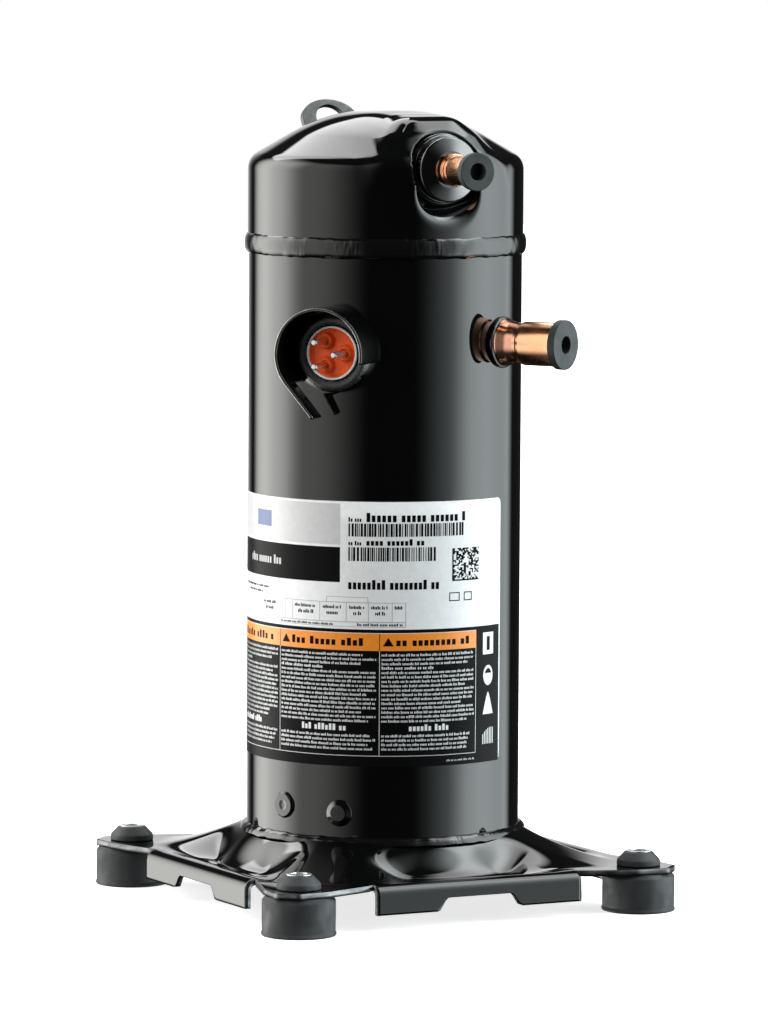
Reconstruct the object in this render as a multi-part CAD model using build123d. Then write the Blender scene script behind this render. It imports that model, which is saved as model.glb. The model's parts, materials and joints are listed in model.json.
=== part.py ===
from build123d import *
import math
import os

# Hermetic scroll compressor, about 400 mm tall, for air conditioning and refrigeration.
# Millimetres. +Z is up and the origin is on the floor, midway between the four rubber feet.
# Directions round the shell are polar angles in degrees, measured from +X towards +Y.

# ---------------------------------------------------------------- driving dimensions

# Feet: the 7 1/2 inch square that small hermetic scroll compressors are bolted on.
FOOT_SPACING = 190.5
FOOT = FOOT_SPACING / 2

# Pressure shell.
SHELL_R = 68.8
SHELL_WALL = 3.0
SHELL_IN = SHELL_R - SHELL_WALL
SHELL_FOOT_Z = 27.0
SHELL_TOP_Z = 329.0
COVER_FLOOR_Z = 11.0
COVER_SKIRT_Z = 45.0

# Separator (muffler) plate and top cap.
SEPARATOR_TOP_Z = 332.0
CAP_R = 69.3
CAP_WALL = 3.0
CAP_SHOULDER_Z = 369.2
CAP_TOP_Z = 398.0
NOSE_FACE_Y = 57.5
NOSE_TOP_Z = 396.6

# Base plate: 3 mm pressed steel.
PLATE = 3.0
PLATE_TOP_Z = 22.5
PLATE_LOW_Z = PLATE_TOP_Z - PLATE
PLATE_HALF = 112.0
FLANGE_FACE = 105.5
FLANGE_LOW_Z = 8.0
FLANGE_HALF = 57.0
COLLAR_TOP_Z = 35.0

# Rubber feet and the sleeves in them, for 5/16 inch or M8 bolts.
GROMMET_R = 18.15
GROMMET_LIP_R = 18.65
GROMMET_NECK_R = 9.5
GROMMET_TOP_Z = 29.6
SLEEVE_R = 5.3
SLEEVE_BORE_R = 4.25

# Discharge fitting on -Y, for a 1/2 inch line.
DISCHARGE_Z = 371.0
DISCHARGE_TUBE_R = 7.4
DISCHARGE_BORE_R = 6.375
DISCHARGE_END = 93.5

# Suction fitting, for a 3/4 inch line.
SUCTION_ANGLE = 301.0
SUCTION_Z = 284.2
SUCTION_NECK_R = 9.2
SUCTION_SOCKET_R = 11.0
SUCTION_BORE_R = 9.55
SUCTION_END = 101.2

# Electrical terminal with three pins.
TERMINAL_ANGLE = 221.0
TERMINAL_Z = 280.4
TERMINAL_R = 13.15
TERMINAL_SEAT = 70.5
PIN_CIRCLE_R = 6.9
PIN_R = 1.6
PIN_SHANK_R = 1.45
PIN_SHOULDER = 73.7
PIN_TIP = 86.7
FENCE_R = 23.3
FENCE_WALL = 1.6
FENCE_END = 90.0

# Lifting lug, standing square to the slope of the cap.
LUG_ANGLE = 91.0
LUG_LEAN = 31.0
LUG_FOOT_R = 56.0
LUG_FOOT_Z = 384.3
LUG_HALF = 16.0
LUG_RISE = 11.4
LUG_EYE_R = 8.15
LUG_EYE_UP = 8.1
LUG_THICK = 3.2

# Rating label wrapped round the shell.
LABEL_FROM = 145.0
LABEL_TO = 300.0
LABEL_LOW_Z = 74.9
LABEL_HIGH_Z = 206.9
LABEL_THICK = 0.25

# Scroll wraps: circle involutes. ORBIT is 0.2 mm under the tight value, for running clearance.
WRAP_PITCH = 13.2
WRAP_THICK = 3.0
ORBIT = 3.4
FIXED_WRAP_END = 18.5
ORBITING_WRAP_END = 17.5
WRAP_START = 2.6
ORBITING_LOW_Z = 280.0
ORBITING_TOP_Z = 287.9
WRAP_LOW_Z = 288.0
WRAP_HIGH_Z = 302.0
AXIAL_GAP = 0.1
SCROLL_TOP_Z = 322.0
SCROLL_R = 50.0

# Posts that carry the fixed scroll, clear of the terminal and of the suction line.
POST_ANGLES = (86.0, 176.0, 266.0, 356.0)
POST_RADIUS = 57.0
POST_TOP_Z = 299.9
BOLT_R = 3.0
BOLT_SLEEVE_R = 4.0
BOLT_SLEEVE_TOP_Z = 313.2

# Main bearing housing, Oldham coupling and thrust washer.
BOWL_R = 53.0
BOWL_LOW_Z = 250.0
BOWL_FLOOR_Z = 270.5
RECESS_R = 24.5
RECESS_Z = 258.5
LAND_R = 36.4
LAND_Z = 278.3
OLDHAM_IN = 40.2
OLDHAM_OUT = 46.6
OLDHAM_LOW_Z = 270.9
OLDHAM_TOP_Z = 275.9
KEY_RADIUS = 43.4
KEY_WIDE = 7.0
KEY_LONG = 6.2
KEY_FIT = 0.06

# Crankshaft and its bearings, with 0.05 mm radial running clearance.
RUNNING = 0.05
MAIN_JOURNAL_R = 12.7
LOWER_JOURNAL_R = 8.0
SHAFT_R = 11.0
CRANK_PIN_R = 8.0
DRIVE_BUSHING_R = 11.5
MAIN_SHELL_R = 15.2
LOWER_SHELL_R = 10.0

# Lower bearing bracket, held by three plug welds through the shell.
BRACKET_ANGLES = (197.2, 355.0, 77.2)
BRACKET_WELD_Z = 53.0

# Motor.
STACK_LOW_Z = 100.0
STACK_HIGH_Z = 175.0
ROTOR_R = 33.2
AIR_GAP = 0.4
STATOR_SLOTS = 24
ROTOR_BARS = 22
FLAT_ANGLES = (41.0, 131.0, 221.0, 311.0)


# ---------------------------------------------------------------- helpers

def ring(outer, inner, low, high):
    """A plain tube about Z."""
    return Pos(0, 0, low) * extrude(Circle(outer) - Circle(inner), high - low)


def rod(radius, low, high, x=0.0, y=0.0):
    """A cylinder parallel to Z."""
    return Pos(x, y, low) * extrude(Circle(radius), high - low)


def block(x0, x1, y0, y1, z0, z1):
    """A box between two corners."""
    return Pos((x0 + x1) / 2, (y0 + y1) / 2, (z0 + z1) / 2) * Box(x1 - x0, y1 - y0, z1 - z0)


def turned(points):
    """A closed (radius, height) outline turned about Z."""
    return revolve(Plane.XZ * make_face(Polyline(*points, close=True)), Axis.Z)


def outwards(angle, height):
    """A place on the shell's axis whose +Z points out along a polar angle, with +Y up."""
    a = math.radians(angle)
    out = Vector(math.cos(a), math.sin(a), 0)
    along = Vector(-math.sin(a), math.cos(a), 0)
    return Plane(origin=(0, 0, height), x_dir=along, z_dir=out).location


def at_polar(radius, angle):
    """The X and Y of a point given by its radius and polar angle."""
    a = math.radians(angle)
    return radius * math.cos(a), radius * math.sin(a)


def pieces(shapes):
    """Separate solids kept in one node."""
    return Compound(children=[s for shape in shapes for s in shape.solids()])


# ---------------------------------------------------------------- pressure shell

def terminal_boss():
    """The raised flat that the terminal is welded into, as a solid cone frustum."""
    outline = [(0, 62), (21.2, 62), (21.2, 65.2), (16.5, TERMINAL_SEAT), (0, TERMINAL_SEAT)]
    return outwards(TERMINAL_ANGLE, TERMINAL_Z) * turned(outline)


def shell_solid():
    """The outside of the shell tube, filled."""
    return rod(SHELL_R, SHELL_FOOT_Z, SHELL_TOP_Z) + terminal_boss()


def make_shell():
    tube = shell_solid() - rod(SHELL_IN, SHELL_FOOT_Z, SHELL_TOP_Z)
    tube -= outwards(TERMINAL_ANGLE, TERMINAL_Z) * rod(TERMINAL_R, 50, 80)
    tube -= outwards(SUCTION_ANGLE, SUCTION_Z) * rod(SUCTION_NECK_R, 50, 80)
    return tube


def make_bottom_cover():
    """A deep-drawn dish whose skirt sits inside the shell."""
    low, wall = COVER_FLOOR_Z, SHELL_WALL
    outer = FilletPolyline(
        (0, low), (SHELL_IN, low), (SHELL_IN, COVER_SKIRT_Z), radius=14
    )
    inner = FilletPolyline(
        (0, low + wall), (SHELL_IN - wall, low + wall), (SHELL_IN - wall, COVER_SKIRT_Z), radius=11
    )
    lip = Line((SHELL_IN, COVER_SKIRT_Z), (SHELL_IN - wall, COVER_SKIRT_Z))
    axis = Line((0, low), (0, low + wall))
    return revolve(Plane.XZ * make_face([outer, lip, inner, axis]), Axis.Z)


def dome(inset):
    """The cap without its nose, filled, with every surface moved in by inset."""
    r, top = CAP_R - inset, CAP_TOP_Z - inset
    side = (48 - inset * 0.5, 386.7 - inset * 0.87)
    bend = (64.8 - inset * 0.5, 376.95 - inset * 0.87)
    crown = Line((0, top), (10, top))
    upper = ThreePointArc((10, top), (29 - inset * 0.27, 395.2 - inset * 0.96), side)
    slope = Line(side, bend)
    knuckle = ThreePointArc(bend, (68.1 - inset * 0.87, 373.65 - inset * 0.5), (r, CAP_SHOULDER_Z))
    skirt = Polyline((r, CAP_SHOULDER_Z), (r, SEPARATOR_TOP_Z), (0, SEPARATOR_TOP_Z), (0, top))
    return revolve(Plane.XZ * make_face([crown, upper, slope, knuckle, skirt]), Axis.Z)


def nose(inset):
    """The bulge towards -Y that ends in an upright face for the discharge fitting."""
    low, top = 345.0, NOSE_TOP_Z - inset
    foot, brow = 30.0 - inset, 20.0 - inset
    outline = Polyline((-foot, low), (foot, low), (brow, top), (-brow, top), close=True)
    face = NOSE_FACE_Y - inset
    body = extrude(Plane.XZ * make_face(outline), face)
    edges = body.edges().filter_by(Axis.Y)
    edges = edges.sort_by(Axis.Z)[-2:]
    body = fillet(edges, 9)
    front = body.faces().sort_by(Axis.Y)[0]
    rim = [e for e in front.edges() if e.center().Z > low + 1]
    return fillet(rim, 6)


def facet_cut(inset):
    """What is cut away from the cap in front of the nose: a shallow cone that opens outwards."""
    face = NOSE_FACE_Y - inset
    outline = [(0, face), (20.5 + inset, face), (25.5 + inset, 75), (0, 75)]
    return outwards(270, DISCHARGE_Z) * turned(outline)


def cap_solid(inset):
    return (dome(inset) + nose(inset)) - facet_cut(inset)


def make_cap():
    cap = cap_solid(0) - cap_solid(CAP_WALL)
    cap -= outwards(270, DISCHARGE_Z) * rod(DISCHARGE_TUBE_R + 1.6, 40, 70)
    return cap


def make_separator_plate():
    """The plate between suction and discharge, clamped and welded at the seam."""
    plate = ring(CAP_R, 9.0, SHELL_TOP_Z, SEPARATOR_TOP_Z)
    x, y = at_polar(53.0, 41.0)
    return plate - rod(4.5, SHELL_TOP_Z, SEPARATOR_TOP_Z, x, y)


def make_seam_weld():
    outline = [
        (SHELL_R, 327.8), (70.1, 328.6), (70.7, 330.4), (70.7, 333.2), (70.1, 334.8),
        (CAP_R, 335.6), (CAP_R, SHELL_TOP_Z), (SHELL_R, SHELL_TOP_Z),
    ]
    return turned(outline)


# ---------------------------------------------------------------- base

def make_base_plate():
    """A pressed square plate: a raised collar, four pads, and a notched flange on each side."""
    flare, pad = PLATE_HALF - 1.5, PLATE_HALF - 8.0
    root = FLANGE_FACE - 5.5
    quadrant = [
        (FLANGE_HALF, root), (FLANGE_HALF + 3, root + 1.5), (87, flare),
        (pad, PLATE_HALF), (PLATE_HALF, pad),
        (flare, 87), (root + 1.5, FLANGE_HALF + 3), (root, FLANGE_HALF),
    ]
    outline = []
    for turn in range(4):
        c, s = round(math.cos(turn * math.pi / 2)), round(math.sin(turn * math.pi / 2))
        outline += [(c * x - s * y, s * x + c * y) for y, x in quadrant]
    plate = Pos(0, 0, PLATE_LOW_Z) * extrude(make_face(Polyline(*outline, close=True)), PLATE)
    plate -= rod(96.0, PLATE_LOW_Z, PLATE_TOP_Z)
    collar = turned([
        (97.0, PLATE_LOW_Z), (97.0, PLATE_TOP_Z), (92.0, PLATE_TOP_Z), (78.0, 30.0), (72.4, 34.0),
        (71.8, COLLAR_TOP_Z), (SHELL_R, COLLAR_TOP_Z), (SHELL_R, 31.0), (75.5, 27.5), (90.0, PLATE_LOW_Z),
    ])
    plate = plate + collar
    for turn in range(4):
        plate = plate + Rot(0, 0, 90 * turn) * make_flange(root)
    for x in (-FOOT, FOOT):
        for y in (-FOOT, FOOT):
            plate -= rod(GROMMET_NECK_R, 15, 25, x, y)
    return plate


def make_flange(root):
    """One side's downturned flange, on the -Y side."""
    run = FilletPolyline(
        (-root + 1, PLATE_TOP_Z), (-FLANGE_FACE, PLATE_TOP_Z), (-FLANGE_FACE, FLANGE_LOW_Z), radius=5.5
    )
    back = FilletPolyline(
        (-root + 1, PLATE_LOW_Z), (-FLANGE_FACE + PLATE, PLATE_LOW_Z),
        (-FLANGE_FACE + PLATE, FLANGE_LOW_Z), radius=2.5,
    )
    foot = Line((-FLANGE_FACE, FLANGE_LOW_Z), (-FLANGE_FACE + PLATE, FLANGE_LOW_Z))
    end = Line((-root + 1, PLATE_TOP_Z), (-root + 1, PLATE_LOW_Z))
    section = Plane.YZ * make_face([run, foot, back, end])
    flange = Pos(-FLANGE_HALF, 0, 0) * extrude(section, 2 * FLANGE_HALF)
    notch = Polyline((-24, FLANGE_LOW_Z - 1), (-17, 14.6), (17, 14.6), (24, FLANGE_LOW_Z - 1), close=True)
    return flange - Pos(0, -95, 0) * extrude(Plane.XZ * make_face(notch), 15)


def make_base_weld():
    """The fillet weld between the collar and the shell."""
    return turned([(SHELL_R, COLLAR_TOP_Z), (71.6, COLLAR_TOP_Z), (70.4, 37.2), (SHELL_R, 38.4)])


def make_grommets():
    outline = [
        (SLEEVE_R, 0), (GROMMET_LIP_R, 0), (GROMMET_LIP_R, 0.9), (GROMMET_R, 2.2),
        (GROMMET_R, 17.6), (16.6, PLATE_LOW_Z), (GROMMET_NECK_R, PLATE_LOW_Z),
        (GROMMET_NECK_R, PLATE_TOP_Z), (10.7, PLATE_TOP_Z), (10.7, 25.8), (6.8, GROMMET_TOP_Z),
        (SLEEVE_R, GROMMET_TOP_Z),
    ]
    foot = turned(outline)
    return pieces([Pos(x, y, 0) * foot for x in (-FOOT, FOOT) for y in (-FOOT, FOOT)])


def make_sleeves():
    sleeve = ring(SLEEVE_R, SLEEVE_BORE_R, 1.0, GROMMET_TOP_Z + 0.4)
    return pieces([Pos(x, y, 0) * sleeve for x in (-FOOT, FOOT) for y in (-FOOT, FOOT)])


# ---------------------------------------------------------------- fittings

def make_discharge_fitting():
    """A turned steel fitting: a spigot through the cap, a stepped shoulder and a coned collar."""
    spigot = DISCHARGE_TUBE_R + 1.6
    outline = [
        (DISCHARGE_TUBE_R, 51), (spigot, 51), (spigot, NOSE_FACE_Y), (17.6, NOSE_FACE_Y),
        (17.6, 60.6), (16.9, 61.2), (16.9, 63.0), (15.2, 63.0), (15.2, 64.0), (16.0, 64.4),
        (16.0, 67.9), (15.0, 68.4), (9.0, 70.4), (DISCHARGE_TUBE_R, 70.4),
    ]
    return outwards(270, DISCHARGE_Z) * turned(outline)


def make_discharge_stub():
    tube, bore, end = DISCHARGE_TUBE_R, DISCHARGE_BORE_R, DISCHARGE_END
    outline = [
        (bore, 50), (tube, 50), (tube, 72.0), (7.95, 72.6), (7.95, 73.6), (tube, 74.2),
        (tube, 75.4), (7.8, 75.9), (7.8, 76.7), (tube, 77.2), (tube, end), (6.9, end),
        (6.9, end - 7), (bore, end - 7),
    ]
    return outwards(270, DISCHARGE_Z) * turned(outline)


def make_plug(flange_r, flange, shank_r, shank, hole_r, base):
    """A rubber shipping plug with a blind hole, its flange's back face at base."""
    low = base + RUNNING
    body = rod(flange_r, low, low + flange) + rod(shank_r, low - shank, low)
    body = fillet(body.edges().sort_by(Axis.Z)[-1:], 0.5)
    return body - rod(hole_r, low + flange - 7.0, low + flange)


def make_discharge_plug():
    return outwards(270, DISCHARGE_Z) * make_plug(9.45, 4.2, 6.84, 5.2, 4.0, DISCHARGE_END)


def make_suction_collar():
    collar = outwards(SUCTION_ANGLE, SUCTION_Z) * ring(12.2, SUCTION_NECK_R, 60, 71.5)
    return collar - rod(SHELL_R, 240, SHELL_TOP_Z)


def make_suction_stub():
    neck, socket, bore, end = SUCTION_NECK_R, SUCTION_SOCKET_R, SUCTION_BORE_R, SUCTION_END
    outline = [
        (8.0, 65.0), (neck, 65.0), (neck, 71.5), (11.6, 71.5), (11.5, 73.2), (10.1, 75.4),
        (neck + 0.1, 77.2), (neck + 0.1, 78.2), (10.4, 80.2), (socket, 82.0), (socket, end),
        (10.15, end), (10.15, end - 7), (bore, end - 7), (bore, 82.5), (8.0, 78.5),
    ]
    stub = outwards(SUCTION_ANGLE, SUCTION_Z) * turned(outline)
    return stub - rod(SHELL_IN, 240, SHELL_TOP_Z)


def make_suction_plug():
    plug = make_plug(12.5, 4.1, 10.09, 5.4, 4.1, SUCTION_END)
    return outwards(SUCTION_ANGLE, SUCTION_Z) * plug


# ---------------------------------------------------------------- electrical terminal

def pin_places():
    return [at_polar(PIN_CIRCLE_R, angle) for angle in (0, 120, 240)]


def make_terminal_body():
    """The pressed steel cup that is welded into the shell."""
    cup = rod(TERMINAL_R, 63.6, 71.7) - rod(12.2, 66.0, 71.7)
    for x, y in pin_places():
        cup -= rod(3.0, 60, 70, x, y)
    return outwards(TERMINAL_ANGLE, TERMINAL_Z) * cup


def make_terminal_seals():
    """A glass bead round each pin."""
    beads = [Pos(x, y, 0) * ring(3.0, PIN_SHANK_R, 63.0, 66.0) for x, y in pin_places()]
    return outwards(TERMINAL_ANGLE, TERMINAL_Z) * pieces(beads)


def make_terminal_pins():
    """Each has a thinner shank through the glass and the insulator, and a shoulder outside them."""
    pins = []
    for x, y in pin_places():
        tip = rod(PIN_R, PIN_SHOULDER, PIN_TIP, x, y)
        tip = chamfer(tip.edges().sort_by(Axis.Z)[-1:], 0.4)
        pins.append(tip + rod(PIN_SHANK_R, 55.0, PIN_SHOULDER, x, y))
    return outwards(TERMINAL_ANGLE, TERMINAL_Z) * pieces(pins)


def make_terminal_insulator():
    """The moulded insulator in the cup, with a raised collar round each pin."""
    disc = rod(12.2, 66.0, 70.6)
    for x, y in pin_places():
        disc = disc + rod(3.6, 70.0, 73.4, x, y)
    for x, y in pin_places():
        disc -= rod(PIN_SHANK_R, 60, 80, x, y)
    return outwards(TERMINAL_ANGLE, TERMINAL_Z) * disc


def make_terminal_fence():
    """A steel strip rolled round the terminal, open at the lower right, with one straight tail."""
    mouth_from, mouth_to = 220.5, 350.0
    band = Circle(FENCE_R) - Circle(FENCE_R - FENCE_WALL)
    reach = 2 * FENCE_R
    wedge = Polyline(
        (0, 0), at_polar(reach, mouth_from), at_polar(reach, 285.0), at_polar(reach, mouth_to), close=True
    )
    band = extrude(band - make_face(wedge), FENCE_END - 55)
    fence = outwards(TERMINAL_ANGLE, TERMINAL_Z) * (Pos(0, 0, 55) * band)
    fence -= shell_solid()
    tail_x, tail_y = at_polar(FENCE_R - FENCE_WALL / 2, mouth_from)
    tail = Pos(tail_x, tail_y) * (Rot(0, 0, mouth_from + 90) * (Pos(11, 0) * Rectangle(22, FENCE_WALL)))
    tail = extrude(tail, FENCE_END - 79)
    return fence + outwards(TERMINAL_ANGLE, TERMINAL_Z) * (Pos(0, 0, 79) * tail)


# ---------------------------------------------------------------- lug, label, small outside parts

def make_lifting_lug():
    """A flat plate with an arched top and an eye, trimmed to the cap where it is welded on."""
    lean = math.radians(LUG_LEAN)
    out = Vector(0, math.cos(lean), -math.sin(lean))
    place = Plane(origin=(0, LUG_FOOT_R, LUG_FOOT_Z), x_dir=Vector(-1, 0, 0), z_dir=out)
    half = LUG_HALF
    outline = Ellipse(half, LUG_RISE) + Pos(0, -half) * Rectangle(2 * half, 2 * half)
    shape = Pos(0, LUG_EYE_UP) * (outline - Circle(LUG_EYE_R))
    lug = Pos(0, 0, -LUG_THICK / 2) * extrude(shape, LUG_THICK)
    lug = Rot(0, 0, LUG_ANGLE - 90) * (place.location * lug)
    return max((lug - dome(0)).solids(), key=lambda s: s.center().Z)


def make_label():
    """A printed film on the outside of the shell."""
    sheet = ring(SHELL_R + LABEL_THICK, SHELL_R, LABEL_LOW_Z, LABEL_HIGH_Z)
    width = LABEL_TO - LABEL_FROM
    fan = [at_polar(90.0, LABEL_FROM + width * k / 4) for k in range(5)]
    return sheet & extrude(make_face(Polyline((0, 0), *fan, close=True)), 300)


def make_bracket_welds():
    """Plug welds that hold the lower bearing bracket, dimpled in the middle."""
    outline = [(0, 60), (6.6, 60), (6.6, 69.2), (5.6, 70.2), (2.4, 70.2), (1.2, 69.7), (0, 69.7)]
    button = turned(outline)
    placed = [outwards(angle, BRACKET_WELD_Z) * button - rod(SHELL_R, 20, 90) for angle in BRACKET_ANGLES]
    return pieces(placed)


def make_port_plug():
    """The welded blank of the oil port."""
    outline = [(0, 60), (6.7, 60), (6.7, 69.4), (3.9, 71.4), (0, 71.4)]
    return outwards(224.4, 51.2) * turned(outline) - rod(SHELL_R, 20, 90)


# ---------------------------------------------------------------- scroll set

def involute(angle, string):
    """A point on the unwound string of the base circle."""
    a = WRAP_PITCH / (2 * math.pi)
    reach = a * (angle + string)
    x = a * math.cos(angle) + reach * math.sin(angle)
    y = a * math.sin(angle) - reach * math.cos(angle)
    return x, y


def wrap_face(end, turn):
    """The spiral wall's cross-section, from WRAP_START to end radians."""
    half = WRAP_THICK / 2 / (WRAP_PITCH / (2 * math.pi))
    count = 80
    angles = [WRAP_START + (end - WRAP_START) * k / count for k in range(count + 1)]
    outer = Spline(*[involute(a, half) for a in angles])
    inner = Spline(*[involute(a, -half) for a in angles])
    root = Line(outer @ 0, inner @ 0)
    tip = Line(outer @ 1, inner @ 1)
    return Rot(0, 0, turn) * make_face([outer, tip, inner, root])


def make_fixed_scroll():
    body = rod(SCROLL_R, WRAP_HIGH_Z, 314) + rod(40, 314, SCROLL_TOP_Z)
    body = body + ring(SCROLL_R, 43.5, WRAP_LOW_Z, WRAP_HIGH_Z)
    body = body + Pos(0, 0, WRAP_LOW_Z) * extrude(wrap_face(FIXED_WRAP_END, 0), WRAP_HIGH_Z - WRAP_LOW_Z)
    inlet = outwards(SUCTION_ANGLE, 294.5) * (Pos(0, 0, 49) * Box(26, 12.5, 14))
    body -= inlet
    for angle in POST_ANGLES:
        x, y = at_polar(POST_RADIUS, angle)
        ear = rod(7.4, 300, 312, x, y)
        web = Rot(0, 0, angle) * block(44, 57, -7.4, 7.4, 302.5, 312)
        body = body + ear + web
        body -= rod(BOLT_SLEEVE_R + RUNNING, 290, 320, x, y)
    body -= ring(34.0, 18.0, 312.0, SCROLL_TOP_Z)
    body -= rod(5.0, 290, 330)
    return body


def make_orbiting_scroll():
    """Built about its own axis, then set over the crank pin."""
    plate = rod(47.0, ORBITING_LOW_Z, ORBITING_TOP_Z)
    wrap = extrude(wrap_face(ORBITING_WRAP_END, 180), WRAP_HIGH_Z - AXIAL_GAP - ORBITING_TOP_Z)
    body = plate + Pos(0, 0, ORBITING_TOP_Z) * wrap
    body = body + ring(16.5, 13.0, 262.2, ORBITING_LOW_Z)
    slot = KEY_WIDE / 2 + KEY_FIT
    inner = KEY_RADIUS - KEY_LONG / 2 - ORBIT - 0.4
    for side in (-1, 1):
        y0, y1 = sorted((side * inner, side * 60.0))
        body -= block(-slot, slot, y0, y1, ORBITING_LOW_Z - 1, ORBITING_LOW_Z + 3.6)
    return Pos(ORBIT, 0, 0) * body


def make_drive_bearing():
    return Pos(ORBIT, 0, 0) * ring(13.0, DRIVE_BUSHING_R + RUNNING, 262.6, 279.6)


def make_oldham_ring():
    """Slides along X on the housing and carries the orbiting scroll's slots along Y."""
    body = ring(OLDHAM_OUT, OLDHAM_IN, OLDHAM_LOW_Z, OLDHAM_TOP_Z)
    half_long, half_wide = KEY_LONG / 2, KEY_WIDE / 2
    for side in (-1, 1):
        y = side * KEY_RADIUS
        body = body + block(-half_wide, half_wide, y - half_long, y + half_long, 274, ORBITING_LOW_Z + 3.2)
        x = side * KEY_RADIUS
        body = body + block(x - half_long, x + half_long, -half_wide, half_wide, 266.4, 272)
    return Pos(ORBIT, 0, 0) * body


def make_thrust_washer():
    return Pos(ORBIT / 2, 0, 0) * ring(34.4, 26.4, LAND_Z + RUNNING, ORBITING_LOW_Z - RUNNING)


def make_floating_seal():
    body = ring(34.0 - 0.08, 18.08, 312.1, 319.5)
    return body + ring(23.0, 19.4, 319.5, 326.9)


# ---------------------------------------------------------------- housing and crank

def make_bearing_housing():
    """The casting pressed into the shell: thrust land, Oldham bowl, four posts, bearing nose."""
    body = rod(BOWL_R, BOWL_LOW_Z, BOWL_FLOOR_Z) + rod(LAND_R, BOWL_FLOOR_Z, LAND_Z)
    body = body + rod(21.0, 214, BOWL_LOW_Z)
    for angle in POST_ANGLES:
        arm = Rot(0, 0, angle) * block(40, 75, -13, 13, BOWL_LOW_Z, 266)
        body = body + (arm & rod(SHELL_IN, 200, 300))
        x, y = at_polar(POST_RADIUS, angle)
        body = body + rod(6.2, 255, POST_TOP_Z, x, y)
        body -= rod(BOLT_R, 270, 310, x, y)
    body -= rod(RECESS_R, RECESS_Z, 300)
    body -= rod(MAIN_SHELL_R, 200, 280)
    slot = KEY_WIDE / 2 + KEY_FIT
    inner = KEY_RADIUS - KEY_LONG / 2 - ORBIT - 0.3
    outer = KEY_RADIUS + KEY_LONG / 2 + ORBIT + 0.5
    for side in (-1, 1):
        x0, x1 = sorted((side * inner, side * outer))
        body -= block(x0, x1, -slot, slot, 266.0, 290)
    return body


def make_main_bearing():
    return ring(MAIN_SHELL_R, MAIN_JOURNAL_R + RUNNING, 215, 258)


def make_scroll_bolts():
    """The bolts that hold the fixed scroll down, with a little room for it to lift."""
    bolts = []
    for angle in POST_ANGLES:
        x, y = at_polar(POST_RADIUS, angle)
        head = Pos(x, y, BOLT_SLEEVE_TOP_Z) * extrude(RegularPolygon(5.77, 6), 5.0)
        bolts.append(head + rod(BOLT_R, 270, BOLT_SLEEVE_TOP_Z, x, y))
    return pieces(bolts)


def make_bolt_sleeves():
    sleeves = []
    for angle in POST_ANGLES:
        x, y = at_polar(POST_RADIUS, angle)
        sleeves.append(Pos(x, y, 0) * ring(BOLT_SLEEVE_R, BOLT_R, POST_TOP_Z, BOLT_SLEEVE_TOP_Z))
    return pieces(sleeves)


def make_crankshaft():
    shaft = rod(LOWER_JOURNAL_R, 47, 66) + rod(SHAFT_R, 66, 213) + rod(MAIN_JOURNAL_R, 213, 259)
    shaft = shaft + rod(CRANK_PIN_R, 259, 279, ORBIT, 0)
    return shaft - rod(2.2, 40, 290, ORBIT, 0) - rod(3.2, 40, 60)


def make_drive_bushing():
    return Pos(ORBIT, 0, 0) * ring(DRIVE_BUSHING_R, CRANK_PIN_R, 261, 279)


def half_ring(outer, inner, low, high, toward):
    """A half ring about Z on the side that a polar angle points to."""
    return ring(outer, inner, low, high) & (Rot(0, 0, toward) * block(0, 80, -80, 80, low, high))


def make_upper_counterweight():
    return half_ring(31.0, 13.0, 183, 198, 180) + ring(14.5, SHAFT_R, 183, 187)


def make_lower_counterweight():
    return half_ring(31.0, 13.0, 79, 92, 0) + ring(14.5, SHAFT_R, 88, 92)


def bar_places():
    return [at_polar(30.0, 360.0 * k / ROTOR_BARS) for k in range(ROTOR_BARS)]


def make_rotor_core():
    core = ring(ROTOR_R, SHAFT_R, STACK_LOW_Z, STACK_HIGH_Z)
    bars = [rod(1.9, STACK_LOW_Z, STACK_HIGH_Z, x, y) for x, y in bar_places()]
    return core - bars


def make_rotor_cage():
    """The cast aluminium end rings and the bars between them."""
    cage = ring(32.4, 23.0, STACK_HIGH_Z, 183) + ring(32.4, 23.0, 92, STACK_LOW_Z)
    bars = [rod(1.9, STACK_LOW_Z, STACK_HIGH_Z, x, y) for x, y in bar_places()]
    return cage + bars


def make_oil_pickup():
    """A stamped cone pressed into the foot of the shaft, dipping into the oil."""
    return turned([
        (3.2, 47), (3.2, 58), (2.0, 58), (2.0, 47), (6.6, 45.8), (2.6, 20), (3.6, 20), (7.6, 47),
    ])


def make_lower_bracket():
    """Three arms that reach the shell, with a bearing boss in the middle."""
    body = rod(14.0, 47, 64)
    for angle in BRACKET_ANGLES:
        arm = block(0, 80, -9, 9, 50, 55)
        foot = block(62.5, 80, -9, 9, 46, 60)
        body = body + Rot(0, 0, angle) * (arm + foot)
    body = body & rod(SHELL_IN, 40, 70)
    return body - rod(LOWER_SHELL_R, 40, 70)


def make_lower_bearing():
    return ring(LOWER_SHELL_R, LOWER_JOURNAL_R + RUNNING, 48, 64)


# ---------------------------------------------------------------- motor

def make_stator_core():
    core = ring(SHELL_IN, ROTOR_R + AIR_GAP, STACK_LOW_Z, STACK_HIGH_Z)
    cuts = []
    for k in range(STATOR_SLOTS):
        turn = Rot(0, 0, 360.0 * (k + 0.5) / STATOR_SLOTS)
        cuts.append(turn * block(36.5, 51.0, -2.3, 2.3, STACK_LOW_Z, STACK_HIGH_Z))
        cuts.append(turn * block(30.0, 38.0, -1.0, 1.0, STACK_LOW_Z, STACK_HIGH_Z))
    for angle in FLAT_ANGLES:
        cuts.append(Rot(0, 0, angle) * block(63.2, 80, -40, 40, STACK_LOW_Z, STACK_HIGH_Z))
    return core - cuts


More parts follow.
